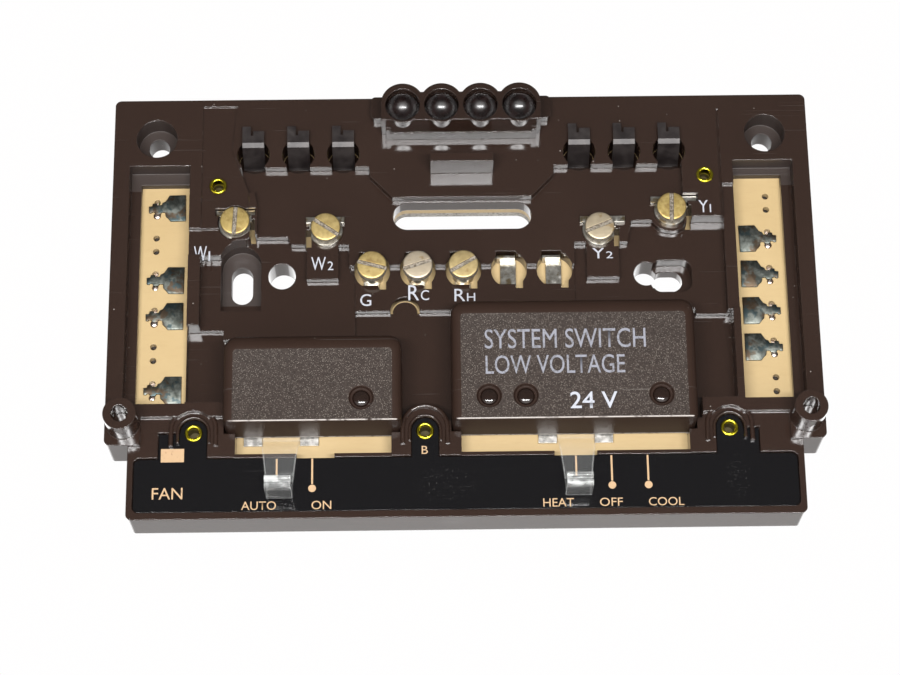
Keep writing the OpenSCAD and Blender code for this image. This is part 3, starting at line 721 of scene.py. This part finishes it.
def makeRodTree():
    tree, given = newTree("rods", (("Geometry", "Geometry"), ("Radius", "Float"), ("Finish", "Material")))
    path = wire(tree, "GeometryNodeMeshToCurve", Mesh=given["Geometry"])
    section = wire(tree, "GeometryNodeCurvePrimitiveCircle", Resolution=12, Radius=given["Radius"])
    return ended(tree, given, swept(tree, path, section))


def grown(name, source, tree, values):
    obj = held(name, source)
    modifier = obj.modifiers.new(tree.name, "NODES")
    modifier.node_group = tree
    for item in tree.interface.items_tree:
        if item.in_out == "INPUT" and item.name in values:
            modifier[item.identifier] = values[item.name]
    return baked(obj)


repeatTree = makeRepeatTree()
ribbonTree = makeRibbonTree()
rodTree = makeRodTree()


def setOut(name, places, template, finish, turns=None, tones=None, spread=0.0, seed=1):
    # one mesh of copies of the template, at the places
    cloud = bpy.data.meshes.new(name)
    cloud.from_pydata(places, [], [])
    for label, values in (("turn", turns), ("tone", tones)):
        field = cloud.attributes.new(label, "FLOAT", "POINT")
        field.data.foreach_set("value", values or [0.0] * len(places))
    shape = held("template", template)
    values = {"Shape": shape, "Finish": finish, "Spread": spread, "Seed": seed}
    result = grown(name, cloud, repeatTree, values)
    bpy.data.objects.remove(shape)
    return result


# radii, lip, length below the rim, and the floor seen in the bore
eyelet = {"rim": 1.75, "bore": 1.1, "barrel": 1.38, "lip": 0.3, "depth": 5.9, "floor": 3.4}
eyeletTurns = [0.3, 1.1, 2.0, 2.9, 4.0]     # radians
topEyelets = [(-48.9, 25.1, 10.1), (48.9, 26.5, 10.1)]
lowEyelets = [(-52.8, -26.55, 8.7), (-7.85, -26.55, 8.7), (51.35, -26.55, 8.7)]


def eyeletShape(e):
    # rolled rim outside, barrel down to the board, dark floor inside the bore
    middle = (e["rim"] + e["bore"]) / 2
    half = (e["rim"] - e["bore"]) / 2
    steps = [math.radians(a) for a in range(0, 181, 20)]
    roll = [(middle + half * math.cos(a), e["lip"] * math.sin(a)) for a in steps]
    profile = [(pole, -e["depth"]), (e["barrel"], -e["depth"]), (e["barrel"], 0.0)] + roll
    profile += [(e["bore"], -e["floor"]), (pole, -e["floor"])]
    return Shape().lathe(profile, 32).mesh("eyelet", [eyeletBrass])


eyeletMesh = setOut("eyelets", topEyelets + lowEyelets, eyeletShape(eyelet), eyeletBrass, eyeletTurns)
stand("brass_eyelet_rims", eyeletMesh, "plate", "eyelet_brass", "brass_eyelets")


screw = {
    "head": 2.95, "seat": 9.0, "top": 10.9, "shank": 1.38, "root": 1.12, "tip": 1.2, "pitch": 0.6,
    "slot": 0.86, "slotDepth": 0.55, "slotPast": 1.05, "round": 0.3, "chamfer": 0.12, "crown": 0.06,
}
screwPlaces = [
    (-45.4, 17.4, 0), (-27.3, 15.8, 0), (27.4, 15.4, 0), (41.9, 19.5, 0),
    (-18.1, 7.5, 0), (-9.0, 7.5, 0), (0.1, 7.5, 0)]
screwTurns = [87, -35, 22, 88, -15, 18, 30]             # degrees
screwTones = [0.0, 0.1, 0.75, 0.0, 0.1, 0.85, 0.25]     # 1 where the brass is greyed


def screwShape(s):
    pitch, root, head = s["pitch"], s["root"], s["head"]
    profile = [(pole, s["tip"]), (root * 0.8, s["tip"]), (root, s["tip"] + 0.2)]
    level = s["tip"] + 0.3
    while level < s["seat"] - pitch:
        profile += [(root, level), (s["shank"], level + pitch * 0.4),
                    (s["shank"], level + pitch * 0.5), (root, level + pitch * 0.9)]
        level += pitch
    profile += [(root, s["seat"]), (head - s["chamfer"], s["seat"]), (head, s["seat"] + s["chamfer"])]
    for a in range(0, 91, 18):
        turn = math.radians(a)
        profile.append((head - s["round"] * (1 - math.cos(turn)),
                        s["top"] - s["round"] + (s["round"] - s["crown"]) * math.sin(turn)))
    profile += [(head * 0.55, s["top"] - 0.02), (pole, s["top"])]
    body = Shape().lathe(profile, 40).mesh("terminal screw", [screwBrass])
    low, half, far = s["top"] - s["slotDepth"], s["slot"] / 2, head + s["slotPast"]
    slotOutline = [(-far, -half), (far, -half), (far, half), (-far, half)]
    return cut(body, Shape().prism(slotOutline, low, s["top"] + 1).mesh("slot", [screwBrass]))


screwMesh = setOut(
    "screws", screwPlaces, screwShape(screw), screwBrass, [math.radians(a) for a in screwTurns], screwTones)
stand("brass_terminal_screws", screwMesh, "plate", "screw_brass", "terminal_screws")


# a side contact is a flag on the board with a toothed arm
flag = {"line": 61.6, "low": 4.42, "high": 4.9, "pitch": 7.77, "first": -0.75, "bevel": 0.12}
flagPlaces = {"left": [3, 1, 0, -2], "right": [2, 1, 0, -1]}       # steps up from the first place
flagTurns = [0.02, -0.015, 0.01, 0.0]     # radians
flagOutline = [
    (-5.8, -2.85), (-2.7, -2.85), (-2.3, -2.3), (-1.7, -1.7), (-1.6, -0.85), (-0.9, -0.8), (-0.75, -1.2),
    (0.35, -1.2), (0.5, -0.75), (1.0, -0.7), (1.15, -0.95), (1.65, -0.9), (1.7, 0.55), (1.0, 0.6),
    (0.9, 1.15), (0.1, 1.2), (0.0, 0.75), (-0.9, 0.8), (-1.1, 1.3), (-1.7, 1.55), (-2.2, 2.3),
    (-2.5, 2.85), (-5.8, 2.85)]


def flagShape(f, side):
    outline = [(x * side, y) for x, y in flagOutline]
    if side < 0:
        outline.reverse()
    return softened(Shape().prism(outline, f["low"], f["high"]).mesh("flag", [contactTin]), f["bevel"])


for sideName, side in (("left", -1), ("right", 1)):
    places = [(side * flag["line"], flag["first"] + n * flag["pitch"], 0) for n in flagPlaces[sideName]]
    flags = setOut(sideName + " flags", places, flagShape(flag, side), contactTin, flagTurns)
    replaced = ["%s_contact_%d" % (sideName, n) for n in (1, 2, 3, 4)]
    stand(sideName + "_contact_flags", flags, "plate", "contact_metal", *replaced)
print("eyelets, screws and contacts made")


# painted shade: dark blocks under the contact fingers, in the openings of the plate, where the board lies
# in shade
fingerPlaces = [(side * (23.8 + 9.05 * n), 31.9, 0) for side in (-1, 1) for n in (0, 1, 2)]
foot = {"radius": 3.2, "half": 2.3, "tail": -2.6, "base": 4.42, "top": 4.75, "soft": 0.1}


def shadeBlockShape(f):
    # a round block with a straight tail towards the open side
    turns = [math.radians(a) for a in range(-40, 221, 13)]
    outline = [(f["radius"] * math.cos(a), f["radius"] * math.sin(a)) for a in turns]
    outline += [(-f["half"], f["tail"]), (f["half"], f["tail"])]
    return softened(Shape().prism(outline, f["base"], f["top"]).mesh("foot", [rivetPlastic]), f["soft"])


# dark plastic blocks that paint the shade over the board in the finger openings
feet = setOut("feet", fingerPlaces, shadeBlockShape(foot), rivetPlastic)
stand("contact_finger_feet", feet, "plate", "rivet_plastic")


# rounded ridges of the plate, round the low eyelets
ridges = [      # radius, length of the legs, thickness, rise of the centre above the eyelet
    (4.35, 3.4, 0.95, 0.6),
    (3.05, 2.2, 0.60, 0.0),
]
ridgeArch = {"level": 9.25, "turns": 26, "sharp": 60}


def horseshoe(centre, radius, legs, arch):
    # an arch over an eyelet with a straight leg on each side
    x, y = centre
    level, turns = arch["level"], arch["turns"]
    angles = [math.pi * (1 - i / turns) for i in range(turns + 1)]
    points = [(x + radius * math.cos(a), y + radius * math.sin(a), level) for a in angles]
    return [(x - radius, y - legs, level)] + points + [(x + radius, y - legs, level)]


def makeRidgeMesh(arch):
    meshes = []
    for x, y, z in lowEyelets:
        for radius, legs, thick, rise in ridges:
            path = horseshoe((x, y + rise), radius, legs, arch)
            source = bpy.data.meshes.new("ridge")
            source.from_pydata(path, [(i, i + 1) for i in range(len(path) - 1)], [])
            rod = grown("ridge", source, rodTree, {"Radius": thick / 2, "Finish": basePlastic})
            meshes.append(tidied(rod, arch["sharp"]))
    return joined("ridges", meshes)


stand("eyelet_ridges", makeRidgeMesh(ridgeArch), "plate", "base_plastic")


# a bead under each contact arm, and the joints on the back of the board
solder = {"front": 4.42, "back": 2.78, "sink": 0.25, "apart": 1.45, "fingerPin": 1.2, "lampPin": 39.4}


def domeShape(radius, height, onBack=True):
    # a spherical cap that stands on a face of the board
    level, away = (solder["back"], -1) if onBack else (solder["front"], 1)
    profile = [(radius, level - away * solder["sink"])]
    for a in range(0, 91, 15):
        turn = math.radians(a)
        profile.append((max(radius * math.cos(turn), pole), level + away * height * math.sin(turn)))
    return Shape().lathe(profile, 16).mesh("solder", [solderFinish])


beadPlaces = []
pinPlaces = []
sparePlaces = []    # holes that no contact is fitted in, closed with dark resin
for sideName, side in (("left", -1), ("right", 1)):
    x = side * flag["line"]
    for n in range(-2, 4):
        y = flag["first"] + n * flag["pitch"]
        pins = [(x, y + solder["apart"], 0), (x, y - solder["apart"], 0)]
        if n in flagPlaces[sideName]:
            pinPlaces += pins
        else:
            sparePlaces += pins
    for n in flagPlaces[sideName]:
        beadPlaces.append((x, flag["first"] + n * flag["pitch"] - solder["apart"], 0))
fingerPins = [(x, y - solder["fingerPin"], 0) for x, y, z in fingerPlaces]
lampPins = [(x, solder["lampPin"], 0) for x in (-11.7, -3.9, 3.9, 11.7)]
backPlaces = pinPlaces + fingerPins + lampPins
ringPlaces = [(x, y, 0) for x, y, z in topEyelets + lowEyelets] + screwPlaces

beads = setOut("beads", beadPlaces, domeShape(0.85, 0.5, False), solderFinish, spread=0.12, seed=4)
smallJoints = setOut("small joints", backPlaces, domeShape(1.05, 0.75), solderFinish, spread=0.2, seed=7)
wideJoints = setOut("wide joints", ringPlaces, domeShape(2.2, 0.35), solderFinish, spread=0.12, seed=9)
plugs = setOut("plugs", sparePlaces, domeShape(0.95, 0.3), rivetPlastic, spread=0.1, seed=11)
stand("contact_solder_beads", beads, "plate", "lug_metal")
stand("board_hole_plugs", plugs, "plate", "rivet_plastic")
stand("board_solder_joints", joined("joints", [smallJoints, wideJoints]), "plate", "lug_metal")


tracks = {"width": 1.5, "thickness": 0.07, "corner": 1.2, "level": 2.77}
routes = [          # corners of each copper track on the back of the board
    [(-61.6, 24.0), (-57.5, 24.0), (-57.5, 35.2), (-41.9, 35.2), (-41.9, 30.7)],
    [(-61.6, 8.5), (-56.0, 8.5), (-51.0, 13.5), (-51.0, 17.4), (-45.4, 17.4)],
    [(-61.6, -2.2), (-55.0, -2.2), (-52.8, -8.0), (-52.8, -26.5)],
    [(-61.6, -17.7), (-58.0, -17.7), (-58.0, -29.5), (-36.0, -29.5), (-36.0, -14.0)],
    [(-32.9, 30.7), (-32.9, 22.0), (-27.3, 22.0), (-27.3, 15.8)],
    [(-23.8, 30.7), (-23.8, 36.0), (-11.7, 36.0), (-11.7, 39.4)],
    [(-18.1, 7.5), (-18.1, 0.5), (-29.0, 0.5), (-29.0, -14.0)],
    [(-9.0, 7.5), (-9.0, -3.5), (-7.85, -5.0), (-7.85, -26.5)],
    [(0.1, 7.5), (0.1, 1.0), (6.0, -5.0), (6.0, -14.0)],
    [(23.8, 30.7), (23.8, 35.5), (11.7, 35.5), (11.7, 39.4)],
    [(32.9, 30.7), (32.9, 24.0), (27.4, 24.0), (27.4, 15.4)],
    [(41.9, 30.7), (41.9, 19.5)],
    [(48.9, 26.5), (52.0, 23.0), (52.0, 16.2), (61.6, 16.2)],
    [(61.6, 5.6), (52.5, 5.6), (52.5, -5.0), (33.0, -5.0), (33.0, -14.0)],
    [(61.6, -2.2), (55.5, -2.2), (55.5, -10.5), (38.0, -10.5), (38.0, -15.0)],
    [(61.6, -9.9), (58.2, -9.9), (58.2, -24.0), (51.35, -26.5)],
    [(3.9, 39.4), (3.9, 34.0), (15.0, 26.0), (15.0, 11.5), (22.0, 11.5), (27.4, 15.4)],
    [(-3.9, 39.4), (-3.9, 34.0), (-15.0, 27.0), (-15.0, 12.0), (-18.1, 7.5)],
]


def makeTrackMesh(t):
    points = []
    edges = []
    for route in routes:
        edges += [(len(points) + i, len(points) + i + 1) for i in range(len(route) - 1)]
        points += [(x, y, t["level"]) for x, y in route]
    source = bpy.data.meshes.new("tracks")
    source.from_pydata(points, edges, [])
    sizes = {"Width": t["width"], "Thickness": t["thickness"], "Corner": t["corner"]}
    return grown("tracks", source, ribbonTree, {**sizes, "Finish": trackFinish})


stand("board_tracks", makeTrackMesh(tracks), "plate", "board")
print("solder and tracks made")


# a switch cover is a hollow shell with a rounded border and a grained face
shell = {
    "edge": 1.7, "topEdge": 2.9, "wall": 1.2, "frontWall": 1.5, "front": 15.0, "back": 5.2, "low": -26.7,
    "topCorner": 2.6, "lowCorner": 1.2, "leastCorner": 0.12, "cornerSteps": 7, "step": 0.12, "lean": 0.5,
    "lift": 5.75, "margin": 1.8, "leastMargin": 0.4, "jamb": 0.05,
}
shells = {
    "fan": {"left": -46.8, "right": -12.3, "top": -8.5},
    "system": {"left": -2.6, "right": 44.9, "top": -1.6},
}
dimple = {"radius": 2.3, "depth": 0.9, "soft": 0.22, "floor": 0.2}
rivet = {"radius": 1.72, "height": 0.75, "shank": 0.74, "length": 2.4, "seat": 0.02, "rim": 0.12}
rivetPlaces = {"fan": [(-20.1, -21.7)], "system": [(4.6, -21.6), (11.7, -21.6), (37.9, -21.6)]}


def coverRing(c, s, inset, level, lifted=False):
    # one loop round a cover, from its lower right corner; insets at the sides, the top and the low side
    side, above, under = inset if isinstance(inset, tuple) else (inset, inset, inset)
    lean = s["lean"] * (level - s["back"]) / (s["front"] - s["back"])
    left, right = c["left"] + side, c["right"] - side
    low, top = s["low"] + lean + under, c["top"] - above
    steps = s["cornerSteps"]
    points = []
    corners = (
        (right, low, -90, s["lowCorner"] - side), (right, top, 0, s["topCorner"] - side),
        (left, top, 90, s["topCorner"] - side), (left, low, 180, s["lowCorner"] - side))
    for x, y, start, radius in corners:
        r = max(radius, s["leastCorner"])
        cx = x - r if x == right else x + r
        cy = y - r if y == top else y + r
        for i in range(steps + 1):
            a = math.radians(start + 90 * i / steps)
            points.append((cx + r * math.cos(a), cy + r * math.sin(a), level))
    # the low side rises over the opening for the lever
    rise = s["lift"] if lifted else level
    margin = max(s["margin"], side + s["leastMargin"])
    first, last = c["left"] + margin, c["right"] - margin
    jambs = (first - s["jamb"], level), (first, rise), (last, rise), (last + s["jamb"], level)
    return points + [(x, low, z) for x, z in jambs]


def coverMesh(name, c, s):
    front, wall, step = s["front"], s["wall"], s["step"]
    straight = front - s["edge"]
    rings = [coverRing(c, s, wall, front - s["frontWall"]), coverRing(c, s, wall, s["back"], True),
             coverRing(c, s, step, s["back"], True), coverRing(c, s, 0, s["lift"] + step),
             coverRing(c, s, 0, straight)]
    for a in range(15, 91, 15):
        turn = math.radians(a)
        away = 1 - math.cos(turn)
        inset = (s["edge"] * away, s["topEdge"] * away, 0)
        rings.append(coverRing(c, s, inset, straight + s["edge"] * math.sin(turn)))
    outer = Shape().loft(rings, (True, False))
    grained = (s["edge"] + step, s["topEdge"] + step, step)
    outer.loft([rings[-1], coverRing(c, s, grained, front - 0.02)], (False, True), 1)
    mesh = outer.mesh(name + " cover", [coverPlastic, coverGrain])
    r, soft, floor = dimple["radius"], dimple["soft"], front - dimple["depth"]
    profile = [(pole, floor), (r - dimple["floor"], floor), (r, floor + dimple["floor"]), (r, front - soft),
               (r + soft * 0.4, front - soft * 0.4), (r + soft, front + 0.02), (r + soft, front + 1),
               (pole, front + 1)]
    for centre in rivetPlaces[name]:
        mesh = cut(mesh, Shape().lathe(profile, 32, centre).mesh("dimple", [coverPlastic]))
    return mesh


for name, c in shells.items():
    stand(name + "_cover_shell", coverMesh(name, c, shell), "plate", "cover_plastic", name + "_cover")


def rivetShape(r, s, d):
    # a low dome in the dimple, on a shank through the cover
    seat = s["front"] - d["depth"]
    profile = [(pole, seat - r["length"]), (r["shank"], seat - r["length"]), (r["shank"], seat - r["seat"]),
               (r["radius"], seat - r["seat"]), (r["radius"], seat + r["rim"])]
    for a in range(10, 91, 16):
        turn = math.radians(a)
        profile.append((r["radius"] * math.cos(turn), seat + 0.1 + r["height"] * math.sin(turn)))
    profile.append((pole, seat + 0.1 + r["height"]))
    return Shape().lathe(profile, 28).mesh("rivet", [rivetPlastic])


allRivets = [(x, y, 0) for places in rivetPlaces.values() for x, y in places]
rivetMesh = setOut("rivets", allRivets, rivetShape(rivet, shell, dimple), rivetPlastic)
stand("cover_rivet_domes", rivetMesh, "plate", "rivet_plastic", "cover_rivets")
print("covers made")


# a lever has a carrier, a thin neck, a ramp over the sill, a tongue and a ribbed grip
lever = {
    "width": 7.2, "tip": 5.1, "low": 4.75, "thin": 0.65, "carrierLift": 0.6, "thick": 1.3, "tongue": 9.05,
    "gripLow": -40.0, "gripTop": -37.4, "gripFront": 16.6, "gripSteps": 18, "gripCorner": 0.55,
    "gripRound": 0.45, "groove": 0.55, "grooveHalf": 0.42, "soft": 0.16, "sharp": 24,
}
carrier = {"half": 4.2, "top": -0.5, "low": -6.5, "sunk": 0.2, "rise": 4.4, "soft": 0.3}
levers = {"fan": {"x": -36.0, "carrier": -11.1}, "system": {"x": 21.6, "carrier": -4.2}}


def bladeStations(place, g, sill):
    # height on the plate, underside, top side and half width, from the carrier down to the tongue
    wide, narrow = g["width"] / 2, g["tip"] / 2
    low, tongue, thick = g["low"], g["tongue"], g["thick"]
    high = low + g["carrierLift"]
    return [
        (place["carrier"], high, high + thick, wide),
        (sill + 2.6, high, high + thick, wide),
        (sill + 1.9, low, low + g["thin"], wide),
        (sill - 0.3, low, low + g["thin"] + 0.02, wide),
        (sill - 0.7, low + 0.5, low + g["thin"] + 0.1, wide - 0.02),
        (sill - 3.0, tongue - 1.0, tongue + 0.35, wide - 0.06),
        (sill - 4.2, tongue - 0.12, tongue + thick - 0.3, wide - 0.2),
        (sill - 4.8, tongue, tongue + thick - 0.05, wide - 0.3),
        (-33.5, tongue, tongue + thick, wide - 0.55),
        (-36.2, tongue, tongue + thick, narrow + 0.2),
        (g["gripTop"] + 0.25, tongue, tongue + thick + 0.1, narrow + 0.1),
        (g["gripTop"] + 0.05, tongue, tongue + thick + 1.2, narrow),
    ]


def gripStations(g):
    # the grip stands up from the tongue, with a groove across its middle and round corners
    stations = []
    top, low, steps = g["gripTop"], g["gripLow"], g["gripSteps"]
    for i in range(steps + 1):
        y = top - (top - low) * i / steps
        groove = max(0.0, 1 - abs(y - (top + low) / 2) / g["grooveHalf"])
        end = min(abs(y - top), abs(y - low))
        corner = g["gripCorner"] * (1 - min(end / g["gripRound"], 1)) ** 2
        front = g["gripFront"] - corner - g["groove"] * groove ** 0.5
        stations.append((y, g["tongue"], front, g["tip"] / 2 - 0.02 * i / steps))
    return stations


def leverMesh(name, place, g, b):
    x = place["x"]
    rings = []
    for y, low, top, half in bladeStations(place, g, shell["low"]) + gripStations(g):
        soft = min(g["soft"], (top - low) * 0.3)
        outline = [(half - soft, low), (half, low + soft), (half, top - soft), (half - soft, top),
                   (-half + soft, top), (-half, top - soft), (-half, low + soft), (-half + soft, low)]
        rings.append([(x + u, y, v) for u, v in outline])
    blade = Shape().loft(rings).mesh(name + " lever", [clearFinish], g["sharp"])
    low, high = place["carrier"] + b["low"], place["carrier"] + b["top"]
    outline = [(x - b["half"], low), (x + b["half"], low), (x + b["half"], high), (x - b["half"], high)]
    base = g["low"] + g["carrierLift"]
    block = Shape().prism(outline, base + g["thick"] - b["sunk"], base + b["rise"])
    block = softened(block.mesh("carrier", [clearFinish]), b["soft"])
    return joined(name + " lever", [blade, block])


for name, place in levers.items():
    mesh = leverMesh(name, place, lever, carrier)
    stand(name + "_lever_clear", mesh, name + "_slide", "clear_plastic", name + "_lever")
print("levers made")


# the lettering is made of thin solids on the faces
printed = {"lift": 0.03, "sink": 0.02, "size": 3.0, "gap": 0.35, "small": 0.66, "one": 0.15}


def lettering(text, box, level, ink, bolder=0.0):
    # text made to fill a box (left, low, right, high)
    curve = bpy.data.curves.new(text, "FONT")
    curve.body = text
    curve.size = printed["size"]
    curve.offset = bolder
    curve.resolution_u = 4
    curve.extrude = 0.5
    mesh = baked(held(text, curve))
    bpy.data.curves.remove(curve)
    points = [v.co.copy() for v in mesh.vertices]
    goal = ((box[0], box[2]), (box[1], box[3]), (level - printed["sink"], level + printed["lift"]))
    for i, (first, last) in enumerate(goal):
        low, high = min(p[i] for p in points), max(p[i] for p in points)
        for vertex, p in zip(mesh.vertices, points):
            vertex.co[i] = first + (p[i] - low) / (high - low) * (last - first)
    mesh.materials.clear()
    mesh.materials.append(ink)
    return tidied(mesh)


def plateMark(outline, level, ink):
    return Shape().prism(outline, level - printed["sink"], level + printed["lift"]).mesh("mark", [ink])


terminalLetters = [     # big letter, small letter, level, box, share of the width for the big letter
    ("W", "1", 9.2, (-53.54, 9.27, -49.63, 12.47), 0.66),
    ("W", "2", 8.1, (-30.23, 7.50, -25.8, 10.31), 0.66),
    ("G", "", 6.8, (-20.51, 0.25, -18.3, 2.77), 1.0),
    ("R", "C", 6.8, (-10.94, 1.36, -6.8, 4.59), 0.52),
    ("R", "H", 6.8, (-1.76, 1.06, 2.37, 3.68), 0.52),
    ("Y", "2", 8.1, (25.87, 9.41, 29.99, 11.62), 0.58),
    ("Y", "1", 10.1, (47.36, 18.31, 50.36, 20.91), 0.62),
]
letterMeshes = []
for big, small, level, box, share in terminalLetters:
    split = box[0] + (box[2] - box[0]) * share
    letterMeshes.append(lettering(big, (box[0], box[1], split, box[3]), level, whiteInk))
    if small:
        start = split + printed["gap"]
        height = (box[3] - box[1]) * printed["small"]
        end = start + height * printed["one"] if small == "1" else box[2]
        letterMeshes.append(lettering(small, (start, box[1], end, box[1] + height), level, whiteInk))
stand("terminal_letters", joined("terminal letters", letterMeshes), "plate", "base_plastic")

legend = {"level": 8.7, "line": 0.36, "dot": 0.75, "dotDrop": 1.15}
legendTexts = [
    ("FAN", (-60.59, -39.86, -54.68, -37.56)), ("AUTO", (-43.36, -42.17, -36.65, -40.46)),
    ("ON", (-29.84, -42.17, -26.03, -40.46)), ("HEAT", (14.74, -42.17, 20.65, -40.50)),
    ("OFF", (25.65, -42.17, 30.06, -40.50)), ("COOL", (35.07, -42.17, 41.88, -40.50)),
    ("B", (-8.55, -31.25, -7.35, -29.64)),
]
legendLines = [     # x, top, bottom, with a dot under it or not
    (-36.6, -31.95, -35.45, False), (-29.74, -31.95, -37.1, True), (21.3, -31.95, -36.0, False),
    (28.16, -31.95, -37.1, True), (35.17, -31.95, -37.1, True),
]
legendMeshes = [lettering(text, box, legend["level"], goldInk) for text, box in legendTexts]
for x, top, low, dotted in legendLines:
    half = legend["line"] / 2
    outline = [(x - half, low), (x + half, low), (x + half, top), (x - half, top)]
    legendMeshes.append(plateMark(outline, legend["level"], goldInk))
    if dotted:
        centre = (x, low - legend["dot"] * legend["dotDrop"])
        disc = [point[:2] for point in circle(legend["dot"], 0, 24, centre)]
        legendMeshes.append(plateMark(disc, legend["level"], goldInk))
badge = [(-59.05, -32.4), (-54.55, -32.4), (-54.55, -29.7), (-59.05, -29.7)]
legendMeshes.append(plateMark(badge, legend["level"], goldInk))
stand("legend_print", joined("legend print", legendMeshes), "plate", "legend_panel")

coverTexts = [      # text, box, ink, how much bolder
    ("SYSTEM SWITCH", (3.9, -12.0, 35.2, -8.0), greyInk, 0.0),
    ("LOW VOLTAGE", (4.0, -17.2, 31.0, -13.4), greyInk, 0.0),
    ("24 V", (20.2, -24.4, 29.3, -21.0), whiteInk, 0.02),
]
coverFace = shell["front"] - printed["lift"]
coverMeshes = [lettering(text, box, coverFace, ink, bolder) for text, box, ink, bolder in coverTexts]
stand("cover_print", joined("cover print", coverMeshes), "plate", "cover_plastic")
print("lettering made")


# a narrow bright strip round the lens, and a pale room
room = {            # sizes in m; the light is dim in front, bright behind, and plain white to the lens
    "floor": -0.30, "half": 1.5, "colour": (1.0, 0.995, 0.995, 1),
    "front": 0.16, "behind": 2.4, "seen": 1.0, "turnFrom": -0.05, "turnTo": 0.35,
}
strip = {"width": 0.46, "height": 0.03, "power": 6.6, "back": 0.03, "rise": 0.02}


def makeLights(r, s):
    data = bpy.data.lights.new("front strip", "AREA")
    data.shape = "RECTANGLE"
    data.size = s["width"]
    data.size_y = s["height"]
    data.energy = s["power"]
    obj = held("front strip", data)
    obj.matrix_world = cameraObject.matrix_world @ Matrix.Translation((0, s["rise"], s["back"]))

    world = bpy.data.worlds.new("room light")
    scene.world = world
    world.use_nodes = True
    tree = world.node_tree
    back = tree.nodes["Background"]
    back.inputs["Color"].default_value = r["colour"]
    place = tree.nodes.new("ShaderNodeTexCoord")
    parts = tree.nodes.new("ShaderNodeSeparateXYZ")
    behind = tree.nodes.new("ShaderNodeMapRange")
    seen = tree.nodes.new("ShaderNodeLightPath")
    pick = tree.nodes.new("ShaderNodeMix")
    behind.interpolation_type = "SMOOTHSTEP"
    limits = {"From Min": "turnFrom", "From Max": "turnTo", "To Min": "front", "To Max": "behind"}
    for label, key in limits.items():
        behind.inputs[label].default_value = r[key]
    pick.inputs[3].default_value = r["seen"]
    join = tree.links.new
    join(place.outputs["Generated"], parts.inputs[0])
    join(parts.outputs["Y"], behind.inputs["Value"])
    join(seen.outputs["Is Camera Ray"], pick.inputs[0])
    join(behind.outputs[0], pick.inputs[2])
    join(pick.outputs[0], back.inputs["Strength"])


def makeFloor(r):
    recipe = Recipe("pale floor")
    cloud = recipe.noise(6.0, 3.0)
    base = recipe.blend(cloud, (0.78, 0.77, 0.755), (0.82, 0.81, 0.80))
    half = r["half"]
    mesh = bpy.data.meshes.new("floor")
    corners = [(-half, -half), (half, -half), (half, half), (-half, half)]
    mesh.from_pydata([(x, y, r["floor"]) for x, y in corners], [], [(0, 1, 2, 3)])
    mesh.materials.append(recipe.finish(baseColor=base, roughness=0.7))
    held("floor", mesh)


makeLights(room, strip)
makeFloor(room)
scene.view_settings.view_transform = "Standard"
print("lights and floor made")
